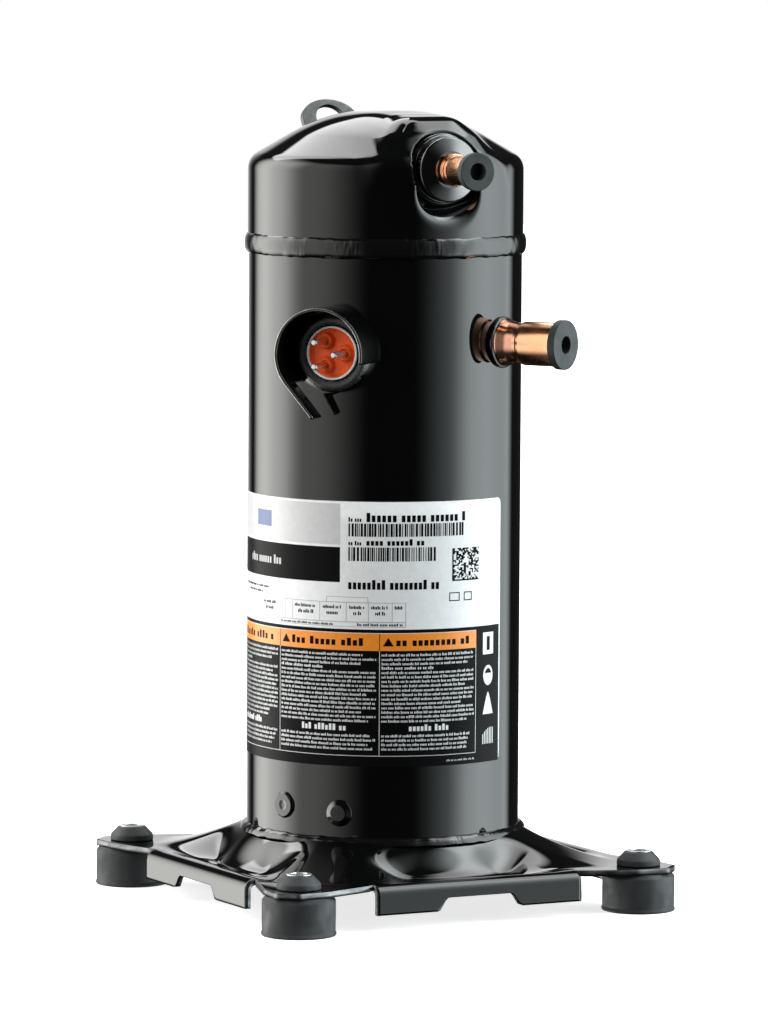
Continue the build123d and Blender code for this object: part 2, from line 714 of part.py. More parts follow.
def make_stator_windings():
    """Both end turns and the bundles in the slots."""
    upper = Plane.XZ * (Pos(49, 187.5) * RectangleRounded(22, 25, 5))
    lower = Plane.XZ * (Pos(49, 88.5) * RectangleRounded(22, 23, 5))
    coil = revolve(upper, Axis.Z) + revolve(lower, Axis.Z)
    legs = []
    for k in range(STATOR_SLOTS):
        turn = Rot(0, 0, 360.0 * (k + 0.5) / STATOR_SLOTS)
        legs.append(turn * block(41.5, 50.0, -2.0, 2.0, STACK_LOW_Z - 2, STACK_HIGH_Z + 2))
    return coil + legs


def make_thermal_protector():
    x, y = at_polar(49.0, 60.0)
    return rod(8.5, 200, 208, x, y)


def make_connector_block():
    """The moulded block that pushes onto the inner ends of the pins."""
    block_body = rod(12.0, 55.5, 61.6)
    for x, y in pin_places():
        block_body -= rod(PIN_SHANK_R, 50, 70, x, y)
    return outwards(TERMINAL_ANGLE, TERMINAL_Z) * block_body


def make_motor_leads():
    """Three insulated wires from the connector block down to the windings."""
    block_solid = outwards(TERMINAL_ANGLE, TERMINAL_Z) * rod(12.0, 55.5, 61.6)
    leads = []
    for side in (-4.5, 0.0, 4.5):
        x, y = at_polar(57.0, TERMINAL_ANGLE)
        t = math.radians(TERMINAL_ANGLE + 90)
        lead = rod(1.3, 199.0, TERMINAL_Z, x + side * math.cos(t), y + side * math.sin(t))
        cut = (lead - block_solid).solids()
        leads.append(min(cut, key=lambda s: s.center().Z))
    windings = make_stator_windings()
    return pieces([lead - windings for lead in leads])


# ---------------------------------------------------------------- valves and small inner parts

def make_valve_seat():
    return ring(15.0, 8.0, SEPARATOR_TOP_Z, 335)


def make_valve_disc():
    return rod(11.0, 335.05, 336.2)


def make_valve_cage():
    """A slotted cup that stops the disc after 3 mm."""
    cage = ring(15.0, 11.4, 335, 340) + ring(15.0, 6.0, 339.3, 341.5)
    for angle in (0, 45, 90, 135):
        cage -= Rot(0, 0, angle) * block(-20, 20, -2.5, 2.5, 336.5, 339.3)
    return cage


def make_relief_valve():
    x, y = at_polar(53.0, 41.0)
    head = Pos(x, y, SEPARATOR_TOP_Z) * extrude(RegularPolygon(7.0, 6), 6)
    valve = head + rod(4.5, 324.0, SEPARATOR_TOP_Z, x, y)
    return valve - rod(1.5, 330, 350, x, y)


def make_suction_baffle():
    """A curved deflector inside the shell that turns the gas down over the motor."""
    sheet = ring(62.6, 61.4, 268, 300)
    legs = ring(SHELL_IN, 61.4, 268, 300)
    keep = extrude(make_face(Polyline((0, 0), (90, 21), (90, -21), close=True)), 400)
    core = extrude(make_face(Polyline((0, 0), (90, 19), (90, -19), close=True)), 400)
    body = (sheet & keep) + ((legs & keep) - core)
    return Rot(0, 0, SUCTION_ANGLE) * body


def make_sump_magnet():
    return rod(9.0, COVER_FLOOR_Z + SHELL_WALL, COVER_FLOOR_Z + SHELL_WALL + 4, 32, 0)


# ---------------------------------------------------------------- write one file per node

parts = {
    "shell_tube": make_shell(),
    "bottom_cover": make_bottom_cover(),
    "top_cap": make_cap(),
    "separator_plate": make_separator_plate(),
    "seam_weld": make_seam_weld(),
    "base_plate": make_base_plate(),
    "base_weld": make_base_weld(),
    "mounting_grommets": make_grommets(),
    "grommet_sleeves": make_sleeves(),
    "discharge_fitting": make_discharge_fitting(),
    "discharge_stub": make_discharge_stub(),
    "discharge_plug": make_discharge_plug(),
    "suction_collar": make_suction_collar(),
    "suction_stub": make_suction_stub(),
    "suction_plug": make_suction_plug(),
    "terminal_body": make_terminal_body(),
    "terminal_glass_seals": make_terminal_seals(),
    "terminal_pins": make_terminal_pins(),
    "terminal_insulator": make_terminal_insulator(),
    "terminal_fence": make_terminal_fence(),
    "lifting_lug": make_lifting_lug(),
    "rating_label": make_label(),
    "bracket_plug_welds": make_bracket_welds(),
    "oil_port_plug": make_port_plug(),
    "fixed_scroll": make_fixed_scroll(),
    "orbiting_scroll": make_orbiting_scroll(),
    "drive_bearing": make_drive_bearing(),
    "oldham_ring": make_oldham_ring(),
    "thrust_washer": make_thrust_washer(),
    "floating_seal": make_floating_seal(),
    "bearing_housing": make_bearing_housing(),
    "main_bearing": make_main_bearing(),
    "scroll_bolts": make_scroll_bolts(),
    "scroll_bolt_sleeves": make_bolt_sleeves(),
    "crankshaft": make_crankshaft(),
    "drive_bushing": make_drive_bushing(),
    "upper_counterweight": make_upper_counterweight(),
    "lower_counterweight": make_lower_counterweight(),
    "rotor_core": make_rotor_core(),
    "rotor_cage": make_rotor_cage(),
    "oil_pickup": make_oil_pickup(),
    "lower_bearing_bracket": make_lower_bracket(),
    "lower_bearing": make_lower_bearing(),
    "stator_core": make_stator_core(),
    "stator_windings": make_stator_windings(),
    "thermal_protector": make_thermal_protector(),
    "connector_block": make_connector_block(),
    "motor_leads": make_motor_leads(),
    "check_valve_seat": make_valve_seat(),
    "check_valve_disc": make_valve_disc(),
    "check_valve_cage": make_valve_cage(),
    "pressure_relief_valve": make_relief_valve(),
    "suction_baffle": make_suction_baffle(),
    "sump_magnet": make_sump_magnet(),
}

os.makedirs("parts", exist_ok=True)
for name, shape in parts.items():
    export_step(shape, f"parts/{name}.step")
    print(name, len(shape.solids()), round(shape.volume))
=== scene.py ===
import json
import math
import random

import bmesh
import bpy
import numpy as np
from mathutils import Matrix, Vector, noise


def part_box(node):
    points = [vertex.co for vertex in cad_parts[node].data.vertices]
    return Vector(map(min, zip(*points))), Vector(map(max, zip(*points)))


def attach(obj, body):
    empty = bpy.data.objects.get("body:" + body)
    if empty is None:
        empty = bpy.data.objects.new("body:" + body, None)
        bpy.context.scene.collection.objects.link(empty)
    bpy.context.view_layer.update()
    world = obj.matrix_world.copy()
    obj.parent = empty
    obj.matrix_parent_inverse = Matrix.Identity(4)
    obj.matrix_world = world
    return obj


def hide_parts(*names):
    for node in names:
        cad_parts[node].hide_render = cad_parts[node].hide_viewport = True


# The looks of a hermetic scroll compressor. Lengths are millimetres until a mesh is made.
# Directions round the shell are polar angles in degrees, measured from +X towards +Y.

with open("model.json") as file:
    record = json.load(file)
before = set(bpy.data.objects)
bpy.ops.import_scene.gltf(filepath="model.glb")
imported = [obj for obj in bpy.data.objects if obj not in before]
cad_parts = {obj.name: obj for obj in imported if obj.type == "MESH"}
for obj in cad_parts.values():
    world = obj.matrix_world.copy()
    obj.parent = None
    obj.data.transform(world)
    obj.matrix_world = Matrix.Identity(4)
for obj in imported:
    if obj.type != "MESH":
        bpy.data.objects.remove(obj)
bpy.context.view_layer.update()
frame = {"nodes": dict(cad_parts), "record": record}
SLOTS = {row["node"]: row["material_slot"] for row in frame["record"]["subparts"]}
MM = 0.001

# ---------------- driving dimensions

FOOT = 95.25            # half the square that the feet stand on
SHELL_R = 68.8
SHELL_THICK = 3.0
SHELL_LOW, SHELL_HIGH = (v.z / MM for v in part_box("shell_tube"))
CAP_R = 69.3
CAP_THICK = 2.8
CAP_LOW = 333.0
CAP_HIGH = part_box("top_cap")[1].z / MM
NOSE_FACE = 57.5        # how far out the discharge fitting's seat lies
DISCHARGE_Z = 371.0
SUCTION_ANGLE, SUCTION_Z = 301.0, 284.2
TERMINAL_ANGLE, TERMINAL_Z = 221.0, 280.4
LABEL_FROM, LABEL_TO = 145.0, 300.0
LABEL_LOW, LABEL_HIGH = (v.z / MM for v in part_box("rating_label"))
PLATE_TOP = 22.5
PLATE_THICK = 3.0
FLANGE_FACE = 105.5
FLANGE_LOW = 8.0
FLANGE_HALF = 57.0
FOLD_R = 5.5
PLUG_WELD_ANGLES, PLUG_WELD_Z = (197.2, 355.0, 77.2), 53.0
OIL_PORT_ANGLE, OIL_PORT_Z = 224.4, 51.2

# The camera stands where the photographer stood: in this direction from the shell, looking down a
# little. Its distance, height and lens are in millimetres.
VIEW_DIRECTION = 242.516
VIEW_DOWN = 5.314
VIEW_ROLL = 0.312
VIEW_DISTANCE = 3356.8
VIEW_HEIGHT = 507.8
LENS = 234.8


# ---------------- geometry helpers

def polar(radius, angle):
    a = math.radians(angle)
    return radius * math.cos(a), radius * math.sin(a)


def outwards(angle, height):
    """A place on the shell's axis whose +Z points out along a polar angle, with +Y up."""
    c, s = polar(1.0, angle)
    return Matrix(((-s, 0, c, 0), (c, 0, s, 0), (0, 1, 0, height), (0, 0, 0, 1)))


def smoothstep(low, high, value):
    t = np.clip((value - low) / (high - low), 0.0, 1.0)
    return t * t * (3 - 2 * t)


def soft_max(a, b, width):
    """The larger of two fields, with the corner between them rounded."""
    h = np.maximum(width - np.abs(a - b), 0.0) / width
    return np.maximum(a, b) + h * h * width / 4


def soft_min(a, b, width):
    return -soft_max(-a, -b, width)


def rounded(corners, steps=5):
    """A closed outline through (x, y, radius) corners, each turned into an arc."""
    outline = []
    count = len(corners)
    for i, (x, y, radius) in enumerate(corners):
        here = Vector((x, y))
        before = Vector(corners[i - 1][:2]) - here
        after = Vector(corners[(i + 1) % count][:2]) - here
        turn = before.angle(after)
        if radius <= 0 or turn > math.radians(176):
            outline.append((x, y))
            continue
        reach = min(radius / math.tan(turn / 2), before.length * 0.49, after.length * 0.49)
        bow = reach * math.tan(turn / 2)
        centre = here + (before.normalized() + after.normalized()).normalized() * math.hypot(reach, bow)
        start = here + before.normalized() * reach - centre
        end = here + after.normalized() * reach - centre
        for k in range(steps + 1):
            outline.append(tuple(centre + start.slerp(end, k / steps) * bow))
    return outline


def finish_mesh(name, bm, place, weighted):
    """Turns a bmesh in millimetres into a smooth-shaded object in metres."""
    bmesh.ops.remove_doubles(bm, verts=bm.verts, dist=1e-4)
    bmesh.ops.recalc_face_normals(bm, faces=bm.faces)
    bm.transform(Matrix.Scale(MM, 4) @ place)
    mesh = bpy.data.meshes.new(name)
    bm.to_mesh(mesh)
    bm.free()
    mesh.polygons.foreach_set("use_smooth", [True] * len(mesh.polygons))
    piece = bpy.data.objects.new(name, mesh)
    bpy.context.scene.collection.objects.link(piece)
    if weighted:
        modifier = piece.modifiers.new("even_normals", "WEIGHTED_NORMAL")
        modifier.weight = 100
    return piece


def grid(name, points, wrap=False, place=Matrix(), keep=None):
    """A sheet of quads through rows x columns x 3 points; wrap joins the last column to the first."""
    rows, columns = points.shape[:2]
    bm = bmesh.new()
    verts = [bm.verts.new(p) for p in points.reshape(-1, 3)]
    for i in range(rows - 1):
        for j in range(columns if wrap else columns - 1):
            if keep is None or keep(i, j):
                k = (j + 1) % columns
                a, b = i * columns, (i + 1) * columns
                bm.faces.new([verts[c] for c in (a + j, a + k, b + k, b + j)])
    return finish_mesh(name, bm, place, False)


def lathe(name, corners, place, segments, wobble):
    """A closed outline of (radius, height, corner radius) turned about Z, rough by the wobble."""
    outline = rounded(corners)
    bm = bmesh.new()
    turned = []
    for r, z in outline:
        loop = []
        for k in range(segments):
            a = 2 * math.pi * k / segments
            c, s = math.cos(a), math.sin(a)
            rough = wobble * noise.noise(Vector((r * c, r * s, z)) * 0.35) if r > 0.01 else 0.0
            loop.append(bm.verts.new(((r + rough) * c, (r + rough) * s, z)))
        turned.append(loop)
    for i, loop in enumerate(turned):
        after = (i + 1) % len(turned)
        above = turned[after]
        if max(outline[i][0], outline[after][0]) < 1e-6:
            continue
        for k in range(segments):
            m = (k + 1) % segments
            bm.faces.new((loop[k], loop[m], above[m], above[k]))
    return finish_mesh(name, bm, place, True)


def thicken(piece, thickness, rim=0):
    """Gives a sheet its thickness on the side its normals point away from."""
    modifier = piece.modifiers.new("thickness", "SOLIDIFY")
    modifier.thickness = thickness * MM
    modifier.offset = -1
    modifier.material_offset_rim = rim
    return piece


def place_piece(piece, materials, node, body="housing"):
    """Says what a piece is made of, which CAD node it stands for and what it rides on."""
    for material in materials:
        piece.data.materials.append(material)
    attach(piece, body)
    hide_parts(node)


def turn_piece(name, corners, place, segments, wobble, material, node, body="housing"):
    """A lathed piece, put in its place at once."""
    place_piece(lathe(name, corners, place, segments, wobble), [material], node, body)


# ---------------- material helpers

def add_node(tree, kind, **values):
    made = tree.nodes.new(kind)
    for key, value in values.items():
        setattr(made, key, value)
    return made


def set_inputs(node, **values):
    """Sets a node's own sockets; an underscore stands for a space in a socket's name."""
    for key, value in values.items():
        node.inputs[key.replace("_", " ")].default_value = value


class Shader:
    """A Principled material with a few short ways to add texture to it."""

    def __init__(self, name, colour, roughness, metallic=0.0, **more):
        self.material = bpy.data.materials.new(name)
        self.material.use_nodes = True
        self.tree = self.material.node_tree
        self.base = self.tree.nodes["Principled BSDF"]
        set_inputs(self.base, Base_Color=(*colour, 1.0), Roughness=roughness, Metallic=metallic)
        set_inputs(self.base, **more)
        self.height = None

    def link(self, a, b):
        self.tree.links.new(a, b)

    def noise(self, scale, detail=3.0, stretch=(1, 1, 1), distortion=0.0):
        """Noise in the object's own metres; scale is features per metre."""
        where = add_node(self.tree, "ShaderNodeTexCoord")
        mapping = add_node(self.tree, "ShaderNodeMapping")
        set_inputs(mapping, Scale=stretch)
        texture = add_node(self.tree, "ShaderNodeTexNoise")
        set_inputs(texture, Scale=scale, Detail=detail, Distortion=distortion)
        self.link(where.outputs["Object"], mapping.inputs["Vector"])
        self.link(mapping.outputs["Vector"], texture.inputs["Vector"])
        return texture.outputs["Fac"]

    def spread(self, source, low, high, start=0.3, stop=0.7):
        """Maps a texture's middle range onto low to high."""
        ramp = add_node(self.tree, "ShaderNodeMapRange")
        set_inputs(ramp, From_Min=start, From_Max=stop, To_Min=low, To_Max=high)
        self.link(source, ramp.inputs["Value"])
        return ramp.outputs["Result"]

    def mix(self, factor, colour_a, colour_b):
        """Two colours, or sockets, mixed by a factor."""
        blend = add_node(self.tree, "ShaderNodeMix", data_type="RGBA")
        self.link(factor, blend.inputs["Factor"])
        for socket, colour in ((blend.inputs[6], colour_a), (blend.inputs[7], colour_b)):
            if isinstance(colour, bpy.types.NodeSocket):
                self.link(colour, socket)
            else:
                socket.default_value = (*colour, 1.0)
        return blend.outputs[2]

    def vary_roughness(self, source, low, high):
        self.link(self.spread(source, low, high), self.base.inputs["Roughness"])

    def vary_colour(self, source, colour_a, colour_b, start=0.3, stop=0.7):
        result = self.mix(self.spread(source, 0.0, 1.0, start, stop), colour_a, colour_b)
        self.link(result, self.base.inputs["Base Color"])
        return result

    def bump(self, source, depth):
        """Adds a bump of that depth, in millimetres, on top of any before it."""
        node = add_node(self.tree, "ShaderNodeBump")
        set_inputs(node, Strength=1.0, Distance=depth * MM)
        self.link(source, node.inputs["Height"])
        if self.height:
            self.link(self.height, node.inputs["Normal"])
        self.height = node.outputs["Normal"]
        self.link(self.height, self.base.inputs["Normal"])


def gloss_black(name, rough_low=0.02, rough_high=0.04, wave=0.02, peel=0.002, ior=1.5):
    """Sprayed gloss enamel: near black, with orange peel and slow waves in the metal under it."""
    shader = Shader(name, (0.0022, 0.0023, 0.0024), rough_low, IOR=ior)
    shader.vary_roughness(shader.noise(35.0, 4.0), rough_low, rough_high)
    shader.bump(shader.noise(22.0, 1.0), wave)
    shader.bump(shader.noise(650.0, 2.0), peel)
    return shader.material


def lumpy_black(name, colour, rough_low, rough_high, lumps, grain):
    """The same paint over a weld."""
    shader = Shader(name, colour, rough_low, IOR=1.5)
    shader.vary_roughness(shader.noise(120.0, 3.0), rough_low, rough_high)
    shader.bump(shader.noise(150.0, 3.0, distortion=0.5), lumps)
    shader.bump(shader.noise(900.0, 2.0), grain)
    return shader.material


def copper_tube(name, bright, tinted):
    """Drawn copper with brazing tints and fine marks along the tube."""
    shader = Shader(name, bright, 0.2, 1.0)
    colour = shader.vary_colour(shader.noise(60.0, 3.0, distortion=0.3), bright, tinted, 0.42, 0.8)
    specks = shader.spread(shader.noise(900.0, 3.0), 0.0, 0.25, 0.64, 0.78)
    shader.link(shader.mix(specks, colour, (0.30, 0.14, 0.08)), shader.base.inputs["Base Color"])
    shader.vary_roughness(shader.noise(160.0, 3.0), 0.16, 0.26)
    shader.bump(shader.noise(300.0, 2.0), 0.006)
    return shader.material


def moulded_rubber(name, colour, dust, roughness=0.62):
    shader = Shader(name, colour, roughness, IOR=1.45)
    shader.vary_colour(shader.noise(55.0, 5.0), colour, dust, 0.42, 0.8)
    shader.vary_roughness(shader.noise(130.0, 3.0), roughness - 0.1, roughness + 0.12)
    shader.bump(shader.noise(1500.0, 2.0), 0.02)
    shader.bump(shader.noise(260.0, 3.0), 0.03)
    return shader.material


def metal(name, colour, other, low, high, scale=200.0, stretch=(1, 1, 1), depth=0.02):
    shader = Shader(name, colour, low, 1.0)
    shader.vary_colour(shader.noise(scale * 0.4, 4.0, stretch), colour, other, 0.35, 0.75)
    shader.vary_roughness(shader.noise(scale, 3.0, stretch), low, high)
    shader.bump(shader.noise(scale * 4, 2.0, stretch), depth)
    return shader.material


def bare_plate():
    """Unpainted, oiled mild steel for the lug."""
    shader = Shader("bare_plate", (0.065, 0.066, 0.064), 0.42, 0.75)
    shader.vary_colour(shader.noise(90.0, 5.0), (0.055, 0.056, 0.054), (0.085, 0.086, 0.083), 0.35, 0.75)
    shader.vary_roughness(shader.noise(240.0, 3.0), 0.34, 0.56)
    shader.bump(shader.noise(500.0, 4.0), 0.04)
    return shader.material


def plastic(name, colour, other, roughness, scale=120.0, depth=0.02, **more):
    shader = Shader(name, colour, roughness, **more)
    shader.vary_colour(shader.noise(scale, 4.0), colour, other, 0.3, 0.75)
    shader.vary_roughness(shader.noise(scale * 3, 3.0), roughness - 0.06, roughness + 0.08)
    shader.bump(shader.noise(scale * 8, 2.0), depth)
    return shader.material


def printed(name, colour, roughness=0.3, gloss=0.4):
    """Ink or film: even colour with a faint grain and a slight ripple."""
    shader = Shader(name, colour, roughness, IOR=1.5, Specular_IOR_Level=gloss)
    darker = tuple(c * 0.93 for c in colour)
    shader.vary_colour(shader.noise(300.0, 2.0), colour, darker)
    shader.vary_roughness(shader.noise(60.0, 3.0), roughness - 0.04, roughness + 0.06)
    shader.bump(shader.noise(30.0, 1.0), 0.04)
    return shader.material


PAINT = gloss_black("gloss_black")
PLATE_PAINT = gloss_black("plate_black", 0.03, 0.07, 0.03, 0.003)
FITTING_PAINT = gloss_black("fitting_black", 0.03, 0.08, 0.01, 0.002, 2.0)
WELD_PAINT = lumpy_black("weld_paint", (0.004, 0.004, 0.0042), 0.06, 0.2, 0.1, 0.02)
# Lighter grey metal for the base plate's edge faces: a painted reflection, the thin light line that the
# painted edges take from the floor.
EDGE_REFLECTION = metal("painted_edge_reflection", (0.16, 0.165, 0.17), (0.05, 0.052, 0.055), 0.3, 0.5, 260.0, (1, 1, 3), 0.03)
COPPER = copper_tube("bright_copper", (0.92, 0.47, 0.27), (0.86, 0.38, 0.21))
TINTED_COPPER = copper_tube("tinted_copper", (0.84, 0.43, 0.29), (0.70, 0.32, 0.21))
FOOT_RUBBER = moulded_rubber("foot_rubber", (0.022, 0.024, 0.026), (0.045, 0.048, 0.05))
PLUG_RUBBER = moulded_rubber("plug_rubber", (0.022, 0.026, 0.027), (0.034, 0.039, 0.040), 0.6)
ZINC = metal("zinc_plate", (0.74, 0.75, 0.76), (0.58, 0.60, 0.63), 0.22, 0.4, 300.0)
NICKEL = plastic("terminal_ring", (0.95, 0.94, 0.92), (0.86, 0.85, 0.83), 0.3, 260.0, 0.01, Metallic=0.1)
# Light grey metal for the terminal fence's top bevels: a painted highlight, the bright lines along the
# strip's rim.
RIM_HIGHLIGHT = metal("painted_rim_highlight", (0.34, 0.34, 0.33), (0.06, 0.06, 0.06), 0.25, 0.45, 220.0)
WELD_SAND = lumpy_black("sandy_weld", (0.035, 0.035, 0.034), 0.25, 0.45, 0.5, 0.25)
LUG_STEEL = bare_plate()
ORANGE = plastic("insulator_orange", (0.95, 0.13, 0.022), (0.80, 0.085, 0.012), 0.34, 160.0, 0.03,
                 Specular_IOR_Level=0.25)
FILM = printed("label_film", (0.80, 0.81, 0.82))
INKS = {
    "black": printed("ink_black", (0.004, 0.004, 0.0044), 0.3, 0.04),
    "grey": printed("ink_grey", (0.56, 0.56, 0.57)),
    "orange": printed("ink_orange", (0.86, 0.27, 0.025)),
    "blue": printed("ink_blue", (0.06, 0.09, 0.24)),
    "dim": printed("ink_dim", (0.42, 0.43, 0.44)),
}


# ---------------- camera, light and floor

def make_camera():
    azimuth, down = math.radians(VIEW_DIRECTION), math.radians(VIEW_DOWN)
    c, s = math.cos(azimuth), math.sin(azimuth)
    back = Vector((c * math.cos(down), s * math.cos(down), math.sin(down)))
    right = Vector((-s, c, 0))
    up = back.cross(right)
    turn = Matrix((right, up, back)).transposed() @ Matrix.Rotation(math.radians(VIEW_ROLL), 3, "Z")
    data = bpy.data.cameras.new("photo_camera")
    data.lens = LENS
    data.sensor_width = 36.0
    data.clip_start, data.clip_end = 0.1, 50.0
    camera = bpy.data.objects.new("photo_camera", data)
    camera.matrix_world = turn.to_4x4()
    x, y = polar(VIEW_DISTANCE * MM, VIEW_DIRECTION)
    camera.location = (x, y, VIEW_HEIGHT * MM)
    bpy.context.scene.collection.objects.link(camera)
    bpy.context.scene.camera = camera


# Light round the object. Bearings are degrees from the camera's side, positive to its right, and
# heights are degrees above the horizon. Each softbox rises and falls over the angles given.
WARM, PLAIN, COOL = (1.0, 1.0, 0.965), (1.0, 1.0, 1.0), (0.90, 0.99, 1.0)
SOFTBOXES = [
    # bearings, heights, strength, colour
    ((-146, -114, -101, -70), (-50, -20, 26, 54), 4.1, WARM),      # tall softbox on the left
    ((-146, -130, -65, -12), (-50, -20, 38, 54), 1.5, WARM),       # its spill towards the camera
    ((24, 90, 124, 138), (-50, -20, 50, 66), 2.7, COOL),           # tall softbox on the right
    ((55, 80, 88, 124), (-50, -20, 50, 66), 2.7, COOL),            # its bright middle
    ((-200, -190, -130, -124), (30, 33, 60, 72), 4.5, PLAIN),      # high card behind, left
    ((-200, -190, -152, -138), (60, 72, 200, 210), 5.0, PLAIN),    # the same card overhead
    ((138, 152, 190, 200), (54, 66, 200, 210), 5.0, PLAIN),
    ((78, 90, 138, 152), (42, 49, 66, 76), 4.0, PLAIN),            # its corner above, right
    ((-200, -190, -180, -147), (-14, -10, 14, 21), 1.1, PLAIN),    # white wall behind
    ((170, 176, 190, 200), (-14, -10, 14, 21), 1.1, PLAIN),
]
FILL_BEARING, FILL_HEIGHT, FILL_POWER = -45.0, 31.0, 34.0
FILL_SIZE, FILL_DISTANCE = 1.6, 3.0        # metres
ROOM_GLOW = 0.02


def make_world():
    world = bpy.data.worlds.new("studio")
    world.use_nodes = True
    bpy.context.scene.world = world
    tree = world.node_tree
    tree.nodes.clear()

    def node(kind, **values):
        return add_node(tree, kind, **values)

    def maths(operation, *inputs):
        made = node("ShaderNodeMath", operation=operation)
        for socket, value in zip(made.inputs, inputs):
            if isinstance(value, bpy.types.NodeSocket):
                tree.links.new(value, socket)
            else:
                socket.default_value = value
        return made.outputs[0]

    def fade(value, start, stop, low=0.0, high=1.0):
        made = node("ShaderNodeMapRange", interpolation_type="SMOOTHSTEP")
        tree.links.new(value, made.inputs["Value"])
        set_inputs(made, From_Min=start, From_Max=stop, To_Min=low, To_Max=high)
        return made.outputs["Result"]

    direction = node("ShaderNodeTexCoord").outputs["Generated"]
    turned = node("ShaderNodeVectorRotate", rotation_type="Z_AXIS")
    set_inputs(turned, Angle=-math.radians(VIEW_DIRECTION))
    tree.links.new(direction, turned.inputs["Vector"])
    axes = node("ShaderNodeSeparateXYZ")
    tree.links.new(turned.outputs["Vector"], axes.inputs["Vector"])
    bearing = maths("DEGREES", maths("ARCTAN2", axes.outputs["Y"], axes.outputs["X"]))
    height = maths("DEGREES", maths("ARCSINE", axes.outputs["Z"]))

    total = node("ShaderNodeRGB").outputs[0]
    total.default_value = (ROOM_GLOW, ROOM_GLOW, ROOM_GLOW, 1)
    for (rise0, rise1, fall0, fall1), (low0, low1, high0, high1), strength, colour in SOFTBOXES:
        across = maths("MULTIPLY", fade(bearing, rise0, rise1), fade(bearing, fall0, fall1, 1.0, 0.0))
        upright = maths("MULTIPLY", fade(height, low0, low1), fade(height, high0, high1, 1.0, 0.0))
        window = maths("MULTIPLY", maths("MULTIPLY", across, upright), strength)
        tint = node("ShaderNodeMix", data_type="RGBA", blend_type="MIX")
        tree.links.new(window, tint.inputs[0])
        tint.clamp_factor = False
        tint.inputs[6].default_value = (0, 0, 0, 1)
        tint.inputs[7].default_value = (*colour, 1)
        add = node("ShaderNodeMix", data_type="RGBA", blend_type="ADD")
        add.inputs[0].default_value = 1.0
        tree.links.new(total, add.inputs[6])
        tree.links.new(tint.outputs[2], add.inputs[7])
        total = add.outputs[2]

    studio = node("ShaderNodeBackground")
    tree.links.new(total, studio.inputs["Color"])
    paper = node("ShaderNodeBackground")
    set_inputs(paper, Color=(1, 1, 1, 1))
    seen = node("ShaderNodeLightPath")
    choose = node("ShaderNodeMixShader")
    tree.links.new(seen.outputs["Is Camera Ray"], choose.inputs[0])
    tree.links.new(studio.outputs[0], choose.inputs[1])
    tree.links.new(paper.outputs[0], choose.inputs[2])
    tree.links.new(choose.outputs[0], node("ShaderNodeOutputWorld").inputs["Surface"])


def make_fill():
    """A soft light that lifts the matt surfaces and doesn't show in the gloss ones."""
    data = bpy.data.lights.new("fill", "AREA")
    data.size = FILL_SIZE
    data.energy = FILL_POWER
    light = bpy.data.objects.new("fill", data)
    rise = math.radians(FILL_HEIGHT)
    x, y = polar(FILL_DISTANCE * math.cos(rise), VIEW_DIRECTION + FILL_BEARING)
    place = Vector((x, y, FILL_DISTANCE * math.sin(rise)))
    light.location = place + Vector((0, 0, 0.2))
    light.rotation_euler = place.to_track_quat("Z", "Y").to_euler()
    light.visible_glossy = False
    bpy.context.scene.collection.objects.link(light)


def make_floor():
    """A pale sweep under the feet."""
    side = 6000.0
    corners = [[(x, y, 0.0) for x in (-side, side)] for y in (-side, side)]
    floor = grid("floor", np.array(corners))
    shader = Shader("floor_paper", (0.86, 0.86, 0.86), 0.9)
    set_inputs(shader.base, Emission_Color=(1, 1, 1, 1), Emission_Strength=0.75)
    floor.data.materials.append(shader.material)
    floor.visible_glossy = False
    floor.visible_diffuse = False


make_camera()
make_world()
make_fill()
make_floor()


# ---------------- cap, shell and welds

# The dome is flat out to one radius, bends down to the next, and is a cone from there.
DOME_FLAT, DOME_CONE = 8.0, 48.0
DOME_BEND, DOME_TURN, DOME_SLOPE = 0.00706, 0.0141, 0.58
NOSE_MIDDLE, NOSE_HALF, NOSE_TOP, NOSE_FOOT = -1.3, 18.8, 396.6, 374.0
NOSE_FLARE, NOSE_FLARE_RUN = 8.0, 14.0     # how much wider it gets on the way down
RECESS_R = 18.0


def dome_field(r, z):
    drop = DOME_BEND * np.clip(r - DOME_FLAT, 0, DOME_CONE - DOME_FLAT) ** 2
    drop = drop + DOME_SLOPE * np.maximum(r - DOME_CONE, 0)
    slope = np.hypot(1, np.clip(DOME_TURN * (r - DOME_FLAT), 0, DOME_SLOPE))
    return soft_max((z - CAP_HIGH + drop) / slope, r - CAP_R, 5.0)


def nose_field(x, y, z):
    flare = NOSE_FLARE * (1 - np.exp(-np.maximum(NOSE_TOP - z, 0) / NOSE_FLARE_RUN))
    flank = (np.abs(x - NOSE_MIDDLE) - NOSE_HALF - flare) * 0.95
    top = z - NOSE_TOP + 0.12 * np.maximum(y + 35, 0)
    nose = soft_max(soft_max(top, flank, 9.5), -NOSE_FACE - y, 13.0)
    return soft_max(soft_max(nose, y * 0.8, 20.0), NOSE_FOOT - z, 12.0)


def cap_field(p):
    """Negative inside the cap: a domed can, a nose for the discharge fitting, and a recess in it."""
    x, y, z = p[..., 0], p[..., 1], p[..., 2]
    blend = 16.0 - 7.0 * smoothstep(386.0, 395.0, z)
    whole = soft_min(dome_field(np.hypot(x, y), z), nose_field(x, y, z), blend)

    # The recess is tight round the fitting and opens into a wider, softer dish straight below it.
    off_axis = np.hypot(x, z - DISCHARGE_Z)
    below = smoothstep(0.3, 1.0, (DISCHARGE_Z - z) / np.maximum(off_axis, 1.0))
    seat = y + NOSE_FACE + 0.5 * np.maximum(DISCHARGE_Z - 14.0 - z, 0)
    wall = off_axis - RECESS_R - (0.04 + 0.6 * below) * np.maximum(-NOSE_FACE - y, 0)
    recess = soft_max(seat, wall, 1.8 + 5.2 * below)
    return soft_max(whole, -recess, 1.8 + 3.7 * below)


